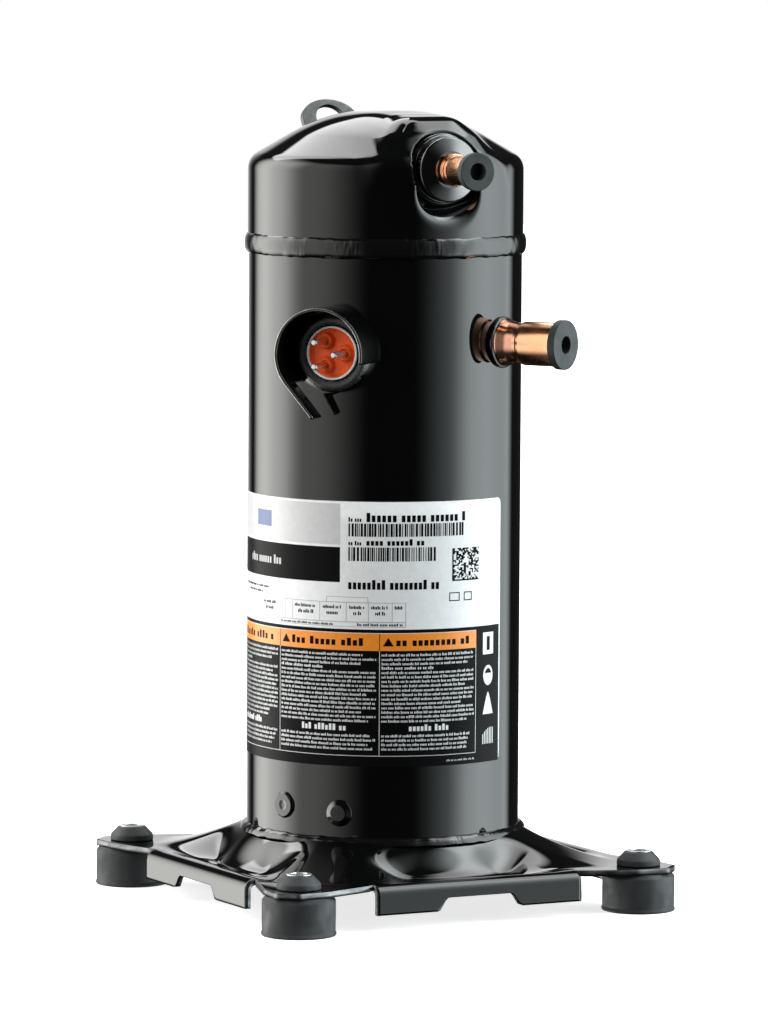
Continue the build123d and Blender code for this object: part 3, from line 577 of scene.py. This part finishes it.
def make_cap():
    """Rays from a point inside the cap, each followed out to the field's surface."""
    columns, rows = 640, 190
    centre = np.array((0.0, -4.0, 352.0))
    around = np.linspace(0, 2 * math.pi, columns, endpoint=False)
    low = math.atan2(CAP_LOW - centre[2], CAP_R)
    up = np.linspace(low, math.pi / 2, rows)
    rise, turn = np.meshgrid(up, around, indexing="ij")
    flat = np.cos(rise)
    rays = np.stack((flat * np.cos(turn), flat * np.sin(turn), np.sin(rise)), axis=-1)
    near, far = np.full(rise.shape, 20.0), np.full(rise.shape, 90.0)
    for _ in range(40):
        middle = (near + far) / 2
        inside = cap_field(centre + rays * middle[..., None]) < 0
        near, far = np.where(inside, middle, near), np.where(inside, far, middle)
    points = centre + rays * near[..., None]
    cap = grid("cap_pressing", points, wrap=True)
    thicken(cap, CAP_THICK)
    place_piece(cap, [PAINT], "top_cap")


def spaced(*stretches):
    """Numbers running through (from, to, count) stretches end to end."""
    runs = [np.linspace(a, b, n, endpoint=False) for a, b, n in stretches]
    return np.concatenate(runs + [np.array([stretches[-1][1]])])


def make_shell():
    """The tube, with the coned boss for the terminal raised out of it."""
    near = 28.0             # the mesh is finer this close to the terminal
    seat_out, seat_r, cone_slope = 70.5, 17.5, 1.13
    reach = math.degrees(near / SHELL_R)
    angles = spaced((TERMINAL_ANGLE - reach, TERMINAL_ANGLE + reach, 72),
                    (TERMINAL_ANGLE + reach, TERMINAL_ANGLE + 360 - reach, 128))[:-1]
    heights = spaced((SHELL_LOW, TERMINAL_Z - near, 24), (TERMINAL_Z - near, TERMINAL_Z + near, 72),
                     (TERMINAL_Z + near, SHELL_HIGH, 8))
    z, a = np.meshgrid(heights, np.radians(angles), indexing="ij")
    t = math.radians(TERMINAL_ANGLE)
    side = SHELL_R * np.sin(a - t)
    out = SHELL_R * np.cos(a - t)
    off_axis = np.hypot(side, z - TERMINAL_Z)
    seat = np.minimum(seat_out, seat_out - (off_axis - seat_r) * cone_slope)
    seat = seat + 1.1 * smoothstep(14.0, 15.2, off_axis) - 1.1 * smoothstep(17.6, 19.4, off_axis)
    seat = np.where(off_axis < 12.7, 67.0, seat)
    raised = soft_max(out, seat, 1.6)
    out = np.where((out > 0) & (off_axis < near - 1), raised, out)
    c, s = math.cos(t), math.sin(t)
    points = np.stack((out * c - side * s, out * s + side * c, z), axis=-1)
    shell = grid("shell_pressing", points, wrap=True)
    axis = outwards(TERMINAL_ANGLE, TERMINAL_Z).inverted()
    for face in shell.data.polygons:
        across, up, along = axis @ (face.center / MM)
        if along > 0 and 14.2 < math.hypot(across, up) < 18.8:
            face.material_index = 1
    thicken(shell, SHELL_THICK)
    place_piece(shell, [PAINT, WELD_SAND], "shell_tube")


def make_bead(name, section, lumps, seed, node):
    """A weld bead run once round Z, over an open (radius, height) section, with ripples and lumps."""
    steps = 900
    points = np.zeros((len(section), steps, 3))
    for j in range(steps):
        a = 2 * math.pi * j / steps
        c, s = math.cos(a), math.sin(a)
        patch = 0.5 + 0.5 * noise.noise(Vector((c * 5, s * 5, seed)))
        for i, (r, z) in enumerate(section):
            held = math.sin(math.pi * i / (len(section) - 1))
            rough = 0.6 * noise.noise(Vector((c * 16, s * 16, z * 0.3 + seed)))
            fine = noise.noise(Vector((c * 75, s * 75, z + seed)))
            rough += float(smoothstep(0.5, 0.75, patch)) * fine
            wander = noise.noise(Vector((c * 12, s * 12, seed + 7)))
            swell = lumps * held * (0.2 + patch) * rough
            edge = 0.5 * (1 - held) * wander
            points[i, j] = ((r + swell) * c, (r + swell) * s, z + edge + 0.4 * held * wander)
    bead = grid(name, points, wrap=True)
    place_piece(bead, [WELD_PAINT], node)


def make_beads():
    seam = [(68.7, 326.8), (69.5, 327.1), (70.2, 327.9), (70.7, 329.2), (70.9, 331.0), (70.9, 332.8),
            (70.7, 334.6), (70.3, 335.9), (69.8, 336.7), (69.1, 337.1)]
    make_bead("seam_bead", seam, 0.25, 3.0, "seam_weld")
    base = [(72.2, 35.6), (71.8, 36.9), (71.1, 37.9), (70.3, 38.7), (69.4, 39.2), (68.6, 39.4)]
    make_bead("base_bead", base, 0.7, 11.0, "base_weld")


# ---------------- base plate and feet

def plate_height(x, y):
    """The top of the pressing: ridges from the collar to the pads, with a dished pocket between."""
    ridge_rise, ridge_run, collar_rise, dish = 16.0, 52.0, 18.0, 2.8
    r = np.hypot(x, y)
    off_ridge = np.abs(np.abs(x) - np.abs(y)) / math.sqrt(2)
    ridge = PLATE_TOP + ridge_rise * (1 - np.clip((r - SHELL_R) / ridge_run, 0, 1)) ** 1.5
    rim = smoothstep(86, 99, np.maximum(np.abs(x), np.abs(y)))
    pocket = PLATE_TOP - dish + dish * rim + collar_rise * (1 - smoothstep(66, 86, r))
    share = 1 - smoothstep(10.0, 40.0, off_ridge)
    return pocket + (ridge - pocket) * share


def plate_outline():
    """The flat plate's edge, with each point marked if the flange folds down there."""
    fold = FLANGE_FACE - FOLD_R
    half_pad = [(FLANGE_HALF, fold, 0), (FLANGE_HALF + 3, fold + 1.5, 1.5), (87, 110.5, 14),
                (103.5, 112, 4)]
    pad = half_pad + [(y, x, radius) for x, y, radius in reversed(half_pad)]
    corners = []
    for turn in range(4):
        c, s = round(math.cos(turn * math.pi / 2)), round(math.sin(turn * math.pi / 2))
        corners += [(c * x - s * y, s * x + c * y, radius) for y, x, radius in pad]
    line = rounded(corners, 6)
    outline = []
    for i, (x0, y0) in enumerate(line):
        x1, y1 = line[(i + 1) % len(line)]
        folded = all(math.isclose(max(abs(x), abs(y)), fold) for x, y in ((x0, y0), (x1, y1)))
        count = 76 if folded else max(1, round(math.hypot(x1 - x0, y1 - y0) / 2.0))
        for k in range(count):
            outline.append((x0 + (x1 - x0) * k / count, y0 + (y1 - y0) * k / count, folded))
        if folded:
            outline.append((x1, y1, True))
    return outline


def flange_low(along):
    """The flange's lower edge, with its wide notch in the middle."""
    notch_depth = 6.6
    return FLANGE_LOW + notch_depth * float(1 - smoothstep(17.5, 23.5, abs(along)))


def make_base_plate():
    """Rows of points from the collar to the edge, then round the fold and down the flanges."""
    outline = plate_outline()
    rows, fold_rows, drop_rows = 44, 8, 6
    count = len(outline)
    points = np.zeros((rows + fold_rows + drop_rows, count, 3))
    for j, (x, y, _) in enumerate(outline):
        reach = math.hypot(x, y)
        t = np.linspace(SHELL_R + 0.2, reach, rows) / reach
        points[:rows, j, 0], points[:rows, j, 1] = x * t, y * t
    flat = points[:rows]
    flat[..., 2] = plate_height(flat[..., 0], flat[..., 1])
    for j, (x, y, folded) in enumerate(outline):
        if not folded:
            points[rows:, j] = points[rows - 1, j]
            continue
        out = np.array((x / abs(x), 0.0)) if abs(x) > abs(y) else np.array((0.0, y / abs(y)))
        along = y if abs(x) > abs(y) else x
        for k in range(fold_rows):
            a = math.pi / 2 * (k + 1) / fold_rows
            points[rows + k, j, :2] = np.array((x, y)) + out * FOLD_R * math.sin(a)
            points[rows + k, j, 2] = PLATE_TOP - FOLD_R * (1 - math.cos(a))
        top = PLATE_TOP - FOLD_R
        low = flange_low(along)
        for k in range(drop_rows):
            points[rows + fold_rows + k, j] = points[rows + fold_rows - 1, j]
            points[rows + fold_rows + k, j, 2] = top + (low - top) * (k + 1) / drop_rows

    def keep(i, j):
        return i < rows - 1 or (outline[j][2] and outline[(j + 1) % count][2])

    plate = grid("base_pressing", points, wrap=True, keep=keep)
    thicken(plate, PLATE_THICK, rim=1)
    # The rim faces carry the painted edge reflection.
    place_piece(plate, [PLATE_PAINT, EDGE_REFLECTION], "base_plate")


def make_feet():
    """Four rubber grommets, each with a plated sleeve."""
    foot = [(5.35, 0.0, 0), (18.2, 0.0, 0.4), (18.6, 0.9, 0.3), (18.05, 2.2, 0.4), (18.15, 10.0, 0),
            (18.1, 17.4, 1.2), (16.4, 19.4, 0.4), (9.6, 19.45, 0.2), (9.6, 22.6, 0.2),
            (10.9, 22.7, 0.4), (10.8, 25.4, 1.6), (7.2, 29.3, 1.0), (6.2, 29.55, 0.3),
            (5.35, 29.5, 0.2)]
    sleeve = [(4.25, 1.0, 0.2), (5.3, 1.0, 0.2), (5.3, 28.6, 0), (6.3, 29.65, 0.2),
              (6.3, 30.0, 0.15), (4.6, 30.0, 0.3), (4.25, 29.6, 0.2)]
    for k, (x, y) in enumerate(((-FOOT, -FOOT), (FOOT, -FOOT), (FOOT, FOOT), (-FOOT, FOOT))):
        # Each is turned a different way, so that their roughness doesn't repeat.
        place = Matrix.Translation((x, y, 0)) @ Matrix.Rotation(math.radians(70 * k), 4, "Z")
        turn_piece(f"grommet_{k}", foot, place, 96, 0.12, FOOT_RUBBER, "mounting_grommets")
        turn_piece(f"grommet_sleeve_{k}", sleeve, place, 64, 0.0, ZINC, "grommet_sleeves")


# ---------------- fittings

def make_discharge():
    place = outwards(270, DISCHARGE_Z)
    boss = [(7.45, 52, 0), (9.0, 52, 0), (9.0, 56.5, 0), (17.6, 56.5, 0), (17.6, 60.6, 1.3),
            (16.7, 60.9, 0.2), (16.9, 62.9, 0.8), (15.2, 63.0, 0.2), (15.2, 63.7, 0.2),
            (16.1, 64.0, 0.6), (16.1, 68.0, 1.2), (14.6, 68.5, 0.6), (9.2, 70.3, 0.5),
            (7.45, 70.4, 0.1)]
    turn_piece("discharge_boss", boss, place, 128, 0.0, FITTING_PAINT, "discharge_fitting")
    tube = [(6.4, 50, 0), (7.4, 50, 0), (7.4, 72.1, 0.3), (7.95, 72.6, 0.25), (7.95, 73.6, 0.25),
            (7.4, 74.1, 0.2), (7.4, 75.4, 0.2), (7.8, 75.8, 0.2), (7.8, 76.8, 0.2), (7.4, 77.2, 0.3),
            (7.4, 93.4, 0.2), (6.9, 93.5, 0.1), (6.9, 86.6, 0.2), (6.4, 86.4, 0.2)]
    turn_piece("discharge_tube", tube, place, 96, 0.02, COPPER, "discharge_stub")
    plug = [(0, 88.4, 0), (6.6, 88.4, 0.5), (6.84, 93.55, 0), (9.3, 93.58, 0.3), (9.45, 97.7, 0.6),
            (4.3, 97.78, 0.35), (4.0, 90.9, 0.3), (0, 90.7, 0)]
    turn_piece("discharge_shipping_plug", plug, place, 96, 0.04,
               PLUG_RUBBER, "discharge_plug", "discharge_plug")


def make_suction():
    place = outwards(SUCTION_ANGLE, SUCTION_Z)
    collar = [(9.25, 62, 0), (12.1, 62, 0), (12.1, 68.3, 0.6), (12.9, 68.8, 0.4), (12.8, 70.0, 0.5),
              (11.7, 70.6, 0.3), (9.25, 70.6, 0)]
    turn_piece("suction_weld_collar", collar, place, 128, 0.25, WELD_PAINT, "suction_collar")
    neck = [(8.1, 65.2, 0), (9.2, 65.2, 0), (9.2, 70.4, 0), (12.0, 70.4, 0.3), (11.9, 71.4, 1.2),
            (10.5, 75.5, 8.0), (9.9, 79.6, 3.0), (9.9, 81.4, 0.2), (8.1, 81.4, 0)]
    turn_piece("suction_neck", neck, place, 128, 0.04, TINTED_COPPER, "suction_stub")
    socket = [(8.1, 81.0, 0), (9.8, 81.0, 0.3), (10.9, 82.0, 0.9), (11.0, 83.4, 1.0),
              (11.0, 101.1, 0.25), (10.2, 101.2, 0.1), (10.15, 94.3, 0.2), (9.6, 94.1, 0.2),
              (9.6, 82.6, 0.6)]
    turn_piece("suction_tube", socket, place, 128, 0.02, COPPER, "suction_stub")
    plug = [(0, 95.9, 0), (9.8, 95.9, 0.5), (10.09, 101.22, 0), (12.35, 101.28, 0.3),
            (12.5, 105.3, 0.5), (4.4, 105.36, 0.35), (4.1, 98.6, 0.3), (0, 98.4, 0)]
    turn_piece("suction_shipping_plug", plug, place, 128, 0.05,
               PLUG_RUBBER, "suction_plug", "suction_plug")


# ---------------- terminal

MOULDING_R = 12.2
PIN_PLACES = [polar(6.9, angle) for angle in (0, 120, 240)]


def make_terminal():
    place = outwards(TERMINAL_ANGLE, TERMINAL_Z)
    cup = [(MOULDING_R, 64, 0), (13.4, 64, 0), (13.4, 71.6, 0.4), (12.3, 71.9, 0.4)]
    turn_piece("terminal_ring", cup, place, 128, 0.0, NICKEL, "terminal_body")

    # The moulding: a dished disc with a lobed collar round each pin.
    rings, spokes = 44, 128
    points = np.zeros((rings, spokes, 3))
    for i in range(rings):
        for j in range(spokes):
            x, y = polar(MOULDING_R * i / (rings - 1), 360 * j / spokes)
            rise = 70.0 - 0.9 * float(smoothstep(MOULDING_R, 10.0, math.hypot(x, y)))
            for px, py in PIN_PLACES:
                off = math.hypot(x - px, y - py)
                rise += 3.0 * float(smoothstep(4.5, 3.3, off)) - 0.9 * float(smoothstep(2.6, 1.8, off))
            points[i, j] = (x, y, min(rise, 73.3))
    skirt = points[-1:].copy()
    skirt[..., 2] = 66.0
    moulding = grid("terminal_moulding", np.concatenate((points, skirt)), wrap=True, place=place)
    place_piece(moulding, [ORANGE], "terminal_insulator")

    pin = [(0, 60, 0), (1.45, 60, 0), (1.45, 73.6, 0), (1.6, 73.8, 0.05), (1.6, 86.2, 0.3),
           (1.1, 86.7, 0.2), (0, 86.7, 0)]
    for k, (x, y) in enumerate(PIN_PLACES):
        turn_piece(f"terminal_pin_{k}", pin, place @ Matrix.Translation((x, y, 0)), 40, 0.0,
                   ZINC, "terminal_pins")


def make_fence():
    """A strip rolled round the terminal and welded on edge, with one straight tail standing clear."""
    radius, half = 22.5, 0.8
    start, stop = -10.0, 220.5
    tail, tail_foot, top = 22.0, 79.0, 90.0
    path = [(*polar(radius, a), a, False) for a in np.linspace(start, stop, 110)]
    x0, y0, _, _ = path[-1]
    for d in spaced((0.05, tail, 18)):
        dx, dy = polar(d, stop + 90)
        path.append((x0 + dx, y0 + dy, stop, True))
    inner = [(-half, None), (-half, top - 0.45), (-half + 0.12, top - 0.14), (-half + 0.42, top)]
    section = inner + [(-off, out) for off, out in reversed(inner)]
    highlit_bevels = (2, 4)           # the two bevels along the top, coloured as a painted highlight
    bm = bmesh.new()
    verts = []
    for x, y, facing, is_tail in path:
        nx, ny = polar(1.0, facing)
        if is_tail:
            foot = tail_foot + 0.25 * noise.noise(Vector((x * 0.5, y * 0.5, 1)))
        else:
            foot = math.sqrt(SHELL_R ** 2 - x * x) - 0.8
        row = [(x + nx * off, y + ny * off, foot if out is None else out) for off, out in section]
        verts.append([bm.verts.new(p) for p in row])
    wide = len(section)
    for a, b in zip(verts, verts[1:]):
        for k in range(wide):
            m = (k + 1) % wide
            face = bm.faces.new((a[k], a[m], b[m], b[k]))
            face.material_index = 1 if k in highlit_bevels else 0
    bm.faces.new(verts[0])
    bm.faces.new(list(reversed(verts[-1])))
    fence = finish_mesh("terminal_fence_strip", bm, outwards(TERMINAL_ANGLE, TERMINAL_Z), True)
    place_piece(fence, [PLATE_PAINT, RIM_HIGHLIGHT], "terminal_fence")


# ---------------- lug and buttons

def make_lug():
    """An arch of plate with an eye, standing square to the slope of the cap."""
    half, rise, eye, up, thick, bevel = 16.0, 11.4, 8.15, 8.1, 3.2, 0.25
    foot, turn, below = (0, 56.0, 384.3), math.radians(1.0), 15.0
    lean = math.radians(31.0)
    steps = 72
    outer, inner = [], []
    for k in range(steps):
        a = 360 * k / steps
        x, y = polar(1.0, a)
        if y >= 0:
            outer.append((half * x, rise * y + up))
        else:
            scale = min(half / max(abs(x), 1e-6), below / max(abs(y), 1e-6))
            outer.append((scale * x, scale * y + up))
        inner.append((eye * x, eye * y + up))
    middle = Vector((0, up))
    rings = []
    for inset, z in ((0, thick / 2 - bevel), (bevel, thick / 2)):
        rings.append([(*(Vector(p) + (middle - Vector(p)).normalized() * inset), z) for p in outer])
    for inset, z in ((bevel, thick / 2), (0, thick / 2 - bevel)):
        rings.append([(*(Vector(p) + (Vector(p) - middle).normalized() * inset), z) for p in inner])
    loop = rings + [[(x, y, -z) for x, y, z in ring] for ring in reversed(rings)]
    points = np.array(loop + loop[:1])
    out = Vector((0, math.cos(lean), -math.sin(lean)))
    upward = Vector((0, math.sin(lean), math.cos(lean)))
    turned = Matrix((upward.cross(out), upward, out)).transposed().to_4x4()
    place = Matrix.Rotation(turn, 4, "Z") @ Matrix.Translation(foot) @ turned
    lug = grid("lifting_lug_plate", points, wrap=True, place=place)
    lug.modifiers.new("even_normals", "WEIGHTED_NORMAL")
    place_piece(lug, [LUG_STEEL], "lifting_lug")


def make_buttons():
    """The dimpled plug welds of the bearing bracket and the coned blank of the oil port."""
    button = [(0, 66, 0), (6.6, 66, 0), (6.6, 69.3, 0.5), (5.6, 70.15, 0.5), (2.6, 70.2, 0.6),
              (1.4, 69.75, 0.5), (0, 69.7, 0)]
    for k, angle in enumerate(PLUG_WELD_ANGLES):
        turn_piece(f"plug_weld_{k}", button, outwards(angle, PLUG_WELD_Z), 64, 0.25,
                   PAINT, "bracket_plug_welds")
    blank = [(0, 66, 0), (6.7, 66, 0), (6.7, 69.3, 0.6), (3.9, 71.3, 1.2), (0, 71.4, 0)]
    turn_piece("oil_port_blank", blank, outwards(OIL_PORT_ANGLE, OIL_PORT_Z), 64, 0.15,
               PAINT, "oil_port_plug")


# ---------------- label

LABEL_WIDE = math.radians(LABEL_TO - LABEL_FROM) * SHELL_R
LABEL_TALL = LABEL_HIGH - LABEL_LOW
PANEL_LOW, PANEL_TOP = 5.2, 68.5
BAND_LOW, BAND_HIGH = 57.9, 66.5
LINE_STEP, LINE_TALL, LINE_LETTER = 2.2, 1.35, 0.72
COLUMNS = (3.0, 59.2, 115.1, 167.7)
CORNER = 3.0


def wrapped(x, y, radius):
    """A point of the flat label, wrapped on to the shell."""
    px, py = polar(radius, LABEL_FROM + math.degrees(x / SHELL_R))
    return px, py, LABEL_LOW + y


def make_film():
    """The label's backing, with its right-hand corners rounded."""
    across = spaced((0, LABEL_WIDE - CORNER, 110), (LABEL_WIDE - CORNER, LABEL_WIDE, 10))
    rows = np.linspace(0, 1, 12)
    points = np.zeros((len(rows), len(across), 3))
    for j, x in enumerate(across):
        into = max(0.0, x - (LABEL_WIDE - CORNER))
        trim = CORNER - math.sqrt(max(0.0, CORNER ** 2 - into ** 2))
        for i, t in enumerate(rows):
            points[i, j] = wrapped(x, trim + t * (LABEL_TALL - 2 * trim), SHELL_R + 0.15)
    film = thicken(grid("label_film_sheet", points), 0.12)
    place_piece(film, [FILM], "rating_label")


class Print:
    """Rectangles of ink on the flat label, later ones over earlier ones."""

    def __init__(self, seed):
        self.marks = []
        self.rng = random.Random(seed)

    def bar(self, x0, y0, x1, y1, ink):
        self.marks.append((x0, y0, x1, y1, ink))

    def frame(self, x0, y0, x1, y1, ink, line=0.3):
        self.bar(x0, y0, x1, y0 + line, ink)
        self.bar(x0, y1 - line, x1, y1, ink)
        self.bar(x0, y0, x0 + line, y1, ink)
        self.bar(x1 - line, y0, x1, y1, ink)

    def strokes(self, x0, y, x1, tall, letter, ink="black"):
        """A line of short strokes grouped like words, standing in for text."""
        x = x0
        while x < x1 - letter:
            for _ in range(self.rng.choice((2, 3, 4, 5, 6, 8))):
                if x > x1 - letter:
                    break
                lift = tall * self.rng.choice((0.72, 0.72, 0.72, 1.0))
                self.bar(x, y, x + letter * 0.7, y + lift, ink)
                x += letter
            x += letter * 0.7

    def barcode(self, x0, y0, x1, y1):
        x = x0
        while x < x1 - 1.2:
            wide = self.rng.choice((0.45, 0.45, 0.8, 1.1))
            self.bar(x, y0, x + wide, y1, "black")
            x += wide + self.rng.choice((0.35, 0.35, 0.55, 0.8))

    def dots(self, x0, y0, size, count):
        """A square of random dots, solid along its left and lower edges."""
        cell = size / count
        for i in range(count):
            for j in range(count):
                if j == 0 or i == 0 or self.rng.random() < 0.5:
                    x, y = x0 + i * cell, y0 + j * cell
                    self.bar(x, y, x0 + (i + 1) * cell, y0 + (j + 1) * cell, "black")

    def mesh(self, name, inks, radius):
        """Cuts the ink into cells that never overlap and wraps them on to the shell."""
        bm = bmesh.new()
        levels = sorted({round(v, 3) for m in self.marks for v in (m[1], m[3])})
        for low, high in zip(levels, levels[1:]):
            middle = (low + high) / 2
            row = [m for m in self.marks if m[1] < middle < m[3]]
            cuts = sorted({round(v, 3) for m in row for v in (m[0], m[2])})
            run = []
            for left, right in zip(cuts, cuts[1:]):
                centre = (left + right) / 2
                over = [m for m in row if m[0] < centre < m[2]]
                ink = over[-1][4] if over else None
                if run and run[-1][2] == ink and math.isclose(run[-1][1], left):
                    run[-1][1] = right
                else:
                    run.append([left, right, ink])
            for left, right, ink in run:
                if ink in (None, "paper"):
                    continue
                count = max(1, math.ceil((right - left) / 2.5))
                for k in range(count):
                    a, b = left + (right - left) * k / count, left + (right - left) * (k + 1) / count
                    corners = ((a, low), (b, low), (b, high), (a, high))
                    face = bm.faces.new([bm.verts.new(wrapped(x, y, radius)) for x, y in corners])
                    face.material_index = inks.index(ink)
        bmesh.ops.remove_doubles(bm, verts=bm.verts, dist=1e-3)
        return finish_mesh(name, bm, Matrix(), False)


def print_upper(sheet):
    """White half: a grey patch, a black band, bar strips, a dot square and a small table."""
    sheet.bar(0, 110.4, 95.1, LABEL_TALL - 1.2, "grey")
    sheet.bar(38, 117.0, 52, 125.0, "blue")
    sheet.bar(0, 91.7, 95.1, 109.2, "black")
    sheet.strokes(30, 98.6, 62, 4.4, 2.1, "dim")
    sheet.strokes(99.4, 122.0, 106.5, 2.2, 1.2)
    sheet.strokes(108.5, 122.0, 162.6, 4.6, 2.6)
    sheet.barcode(99.4, 114.7, 160.6, 121.2)
    sheet.strokes(99.4, 110.3, 106.5, 2.2, 1.2)
    sheet.strokes(108.5, 110.3, 138.5, 3.2, 2.2)
    sheet.barcode(99.4, 102.5, 145.0, 109.4)
    sheet.strokes(99.4, 88.4, 146.8, 4.8, 2.4)
    sheet.dots(152.6, 92.0, 16.4, 22)
    sheet.frame(151.0, 82.0, 157.0, 86.4, "black", 0.5)
    sheet.frame(159.5, 82.0, 164.5, 86.4, "black", 0.5)

    sheet.frame(0.6, 69.6, 128.3, 72.2, "dim")
    sheet.frame(0.6, 72.0, 128.3, 81.9, "dim")
    sheet.frame(0.6, 81.7, 57.8, 90.2, "dim")
    sheet.frame(87.9, 81.7, 109.5, 84.6, "dim")
    for x in (14.0, 28.5, 43.4, 57.8, 62.7, 67.8, 84.1, 98.3, 109.5, 121.3):
        sheet.bar(x, 72.0, x + 0.3, 81.9, "dim")
    for x0, x1 in ((45, 56), (69.5, 82.5), (86, 96.5), (100, 108), (111, 120), (122.6, 127)):
        sheet.strokes(x0, 78.6, x1, 1.7, 0.8)
        sheet.strokes(x0 + 2, 75.6, x1 - 1.5, 1.9, 0.9)
    sheet.strokes(60, 70.2, 92, 1.2, 0.7)
    sheet.strokes(104, 70.2, 127, 1.4, 0.8)
    sheet.strokes(20, 86.0, 50, 1.4, 0.8)
    sheet.strokes(26, 83.4, 44, 1.4, 0.8)


def print_lower(sheet):
    """Black half: three columns of strokes under an orange band, and a strip of plain symbols."""
    sheet.bar(0, 0, LABEL_WIDE, PANEL_TOP, "black")
    left, right = COLUMNS[0], COLUMNS[-1]
    sheet.frame(left, PANEL_LOW, right, 66.8, "paper", 0.35)
    for x0, x1 in zip(COLUMNS, COLUMNS[1:]):
        sheet.bar(x0, PANEL_LOW, x0 + 0.35, 66.8, "paper")
        sheet.bar(x0 + 0.35, BAND_LOW, x1, BAND_HIGH, "orange")
        sheet.bar(x0, BAND_LOW, x0 + 0.4, BAND_HIGH, "black")
        sheet.strokes(x0 + 8.5, 60.3, x1 - 3.0, 3.9, 3.0)
        for step in range(5):
            inset, y = step * 0.5, 60.2 + step * 0.8
            sheet.bar(x0 + 2 + inset, y, x0 + 7 - inset, 60.2 + (step + 1) * 0.8, "black")
        y = 55.2
        for index in range(16):
            if index == 3:
                sheet.strokes(x0 + 1.2, y, x0 + 28, 1.5, 1.0, "paper")
            else:
                ends_early = index in (2, 15) or sheet.rng.random() < 0.25
                short = sheet.rng.uniform(1.5, 9.0) if ends_early else 1.2
                sheet.strokes(x0 + 1.2, y, x1 - short, LINE_TALL, LINE_LETTER, "paper")
            y -= LINE_STEP
        sheet.strokes(x0 + 15, y - LINE_STEP, x1 - 15, 3.2, 2.0, "paper")
        y -= 5.2
        while y > PANEL_LOW + 1.0:
            short = sheet.rng.uniform(1.0, 6.0)
            sheet.strokes(x0 + 1.2, y, x1 - short, LINE_TALL, LINE_LETTER, "paper")
            y -= LINE_STEP
    sheet.strokes(150, 2.0, 167, 1.0, 0.7, "dim")

    # Four plain symbols, one over another: a square, a ring, a cone and a fan of strokes.
    middle = (right + LABEL_WIDE) / 2 - 0.5
    sheet.bar(middle - 4, 54, middle + 4, 65, "paper")
    sheet.bar(middle - 1.2, 56, middle + 1.2, 63, "black")
    for k in range(22):
        t = -1 + 2 * (k + 0.5) / 22
        wide = 3.6 * math.sqrt(1 - t * t)
        sheet.bar(middle - wide, 43.5 + 5 * t - 0.24, middle + wide, 43.5 + 5 * t + 0.24, "paper")
        wide = max(0.0, wide - 1.1)
        sheet.bar(middle - wide, 44.0 + 3.2 * t - 0.16, middle + wide, 44.0 + 3.2 * t + 0.16, "black")
    for k in range(20):
        wide = 3.8 * (1 - k / 20) ** 0.8
        sheet.bar(middle - wide, 24 + k * 0.55, middle + wide, 24.56 + k * 0.55, "paper")
    for k in range(7):
        x = middle - 4 + k * 1.25
        sheet.bar(x, 9.0, x + 0.6, 14.0 + 1.3 * k - 0.13 * k * k, "paper")


def make_label():
    sheet = Print(7)
    print_upper(sheet)
    print_lower(sheet)
    sheet.bar(LABEL_WIDE - 1.0, 0, LABEL_WIDE, LABEL_TALL, "paper")
    inks = list(INKS)
    ink = sheet.mesh("label_print", inks, SHELL_R + 0.2)
    for name in inks:
        ink.data.materials.append(INKS[name])
    place_piece(ink, [], "rating_label")


# ---------------- everything that stays as CAD

CAD_LOOKS = {
    "black_paint": PAINT,
    "bare_steel": LUG_STEEL,
    "fence_steel": PLATE_PAINT,
    "copper": COPPER,
    "grey_rubber": FOOT_RUBBER,
    "plug_rubber": PLUG_RUBBER,
    "zinc_steel": ZINC,
    "seal_glass": plastic("seal_glass", (0.20, 0.27, 0.25), (0.14, 0.2, 0.19), 0.12),
    "insulator": ORANGE,
    "label_film": FILM,
    "cast_iron": metal("cast_iron", (0.24, 0.24, 0.25), (0.15, 0.15, 0.16), 0.4, 0.62, 160.0,
                       (1, 1, 1), 0.06),
    "bearing_bronze": metal("bearing_bronze", (0.62, 0.43, 0.20), (0.45, 0.30, 0.14), 0.28, 0.45, 220.0),
    "hard_steel": metal("ground_steel", (0.60, 0.61, 0.63), (0.48, 0.49, 0.51), 0.16, 0.3, 260.0,
                        (1, 1, 6)),
    "cast_aluminium": metal("cast_aluminium", (0.76, 0.77, 0.79), (0.62, 0.63, 0.66), 0.34, 0.52, 150.0),
    "lamination_steel": metal("laminations", (0.36, 0.37, 0.40), (0.24, 0.25, 0.27), 0.35, 0.5, 400.0,
                              (0.05, 0.05, 4)),
    "winding_copper": metal("enamelled_wire", (0.66, 0.28, 0.12), (0.45, 0.17, 0.07), 0.25, 0.4, 300.0,
                            (0.2, 0.2, 3), 0.2),
    "black_plastic": plastic("black_plastic", (0.02, 0.02, 0.021), (0.035, 0.035, 0.036), 0.45),
    "magnet_ferrite": plastic("ferrite", (0.05, 0.05, 0.052), (0.08, 0.08, 0.08), 0.6),
}


def dress_cad_nodes():
    for name, node in frame["nodes"].items():
        node.data.materials.clear()
        node.data.materials.append(CAD_LOOKS[SLOTS[name]])


bpy.context.scene.view_settings.view_transform = "Standard"
dress_cad_nodes()
make_cap()
make_shell()
make_beads()
make_base_plate()
make_feet()
make_discharge()
make_suction()
make_terminal()
make_fence()
make_lug()
make_buttons()
make_film()
make_label()
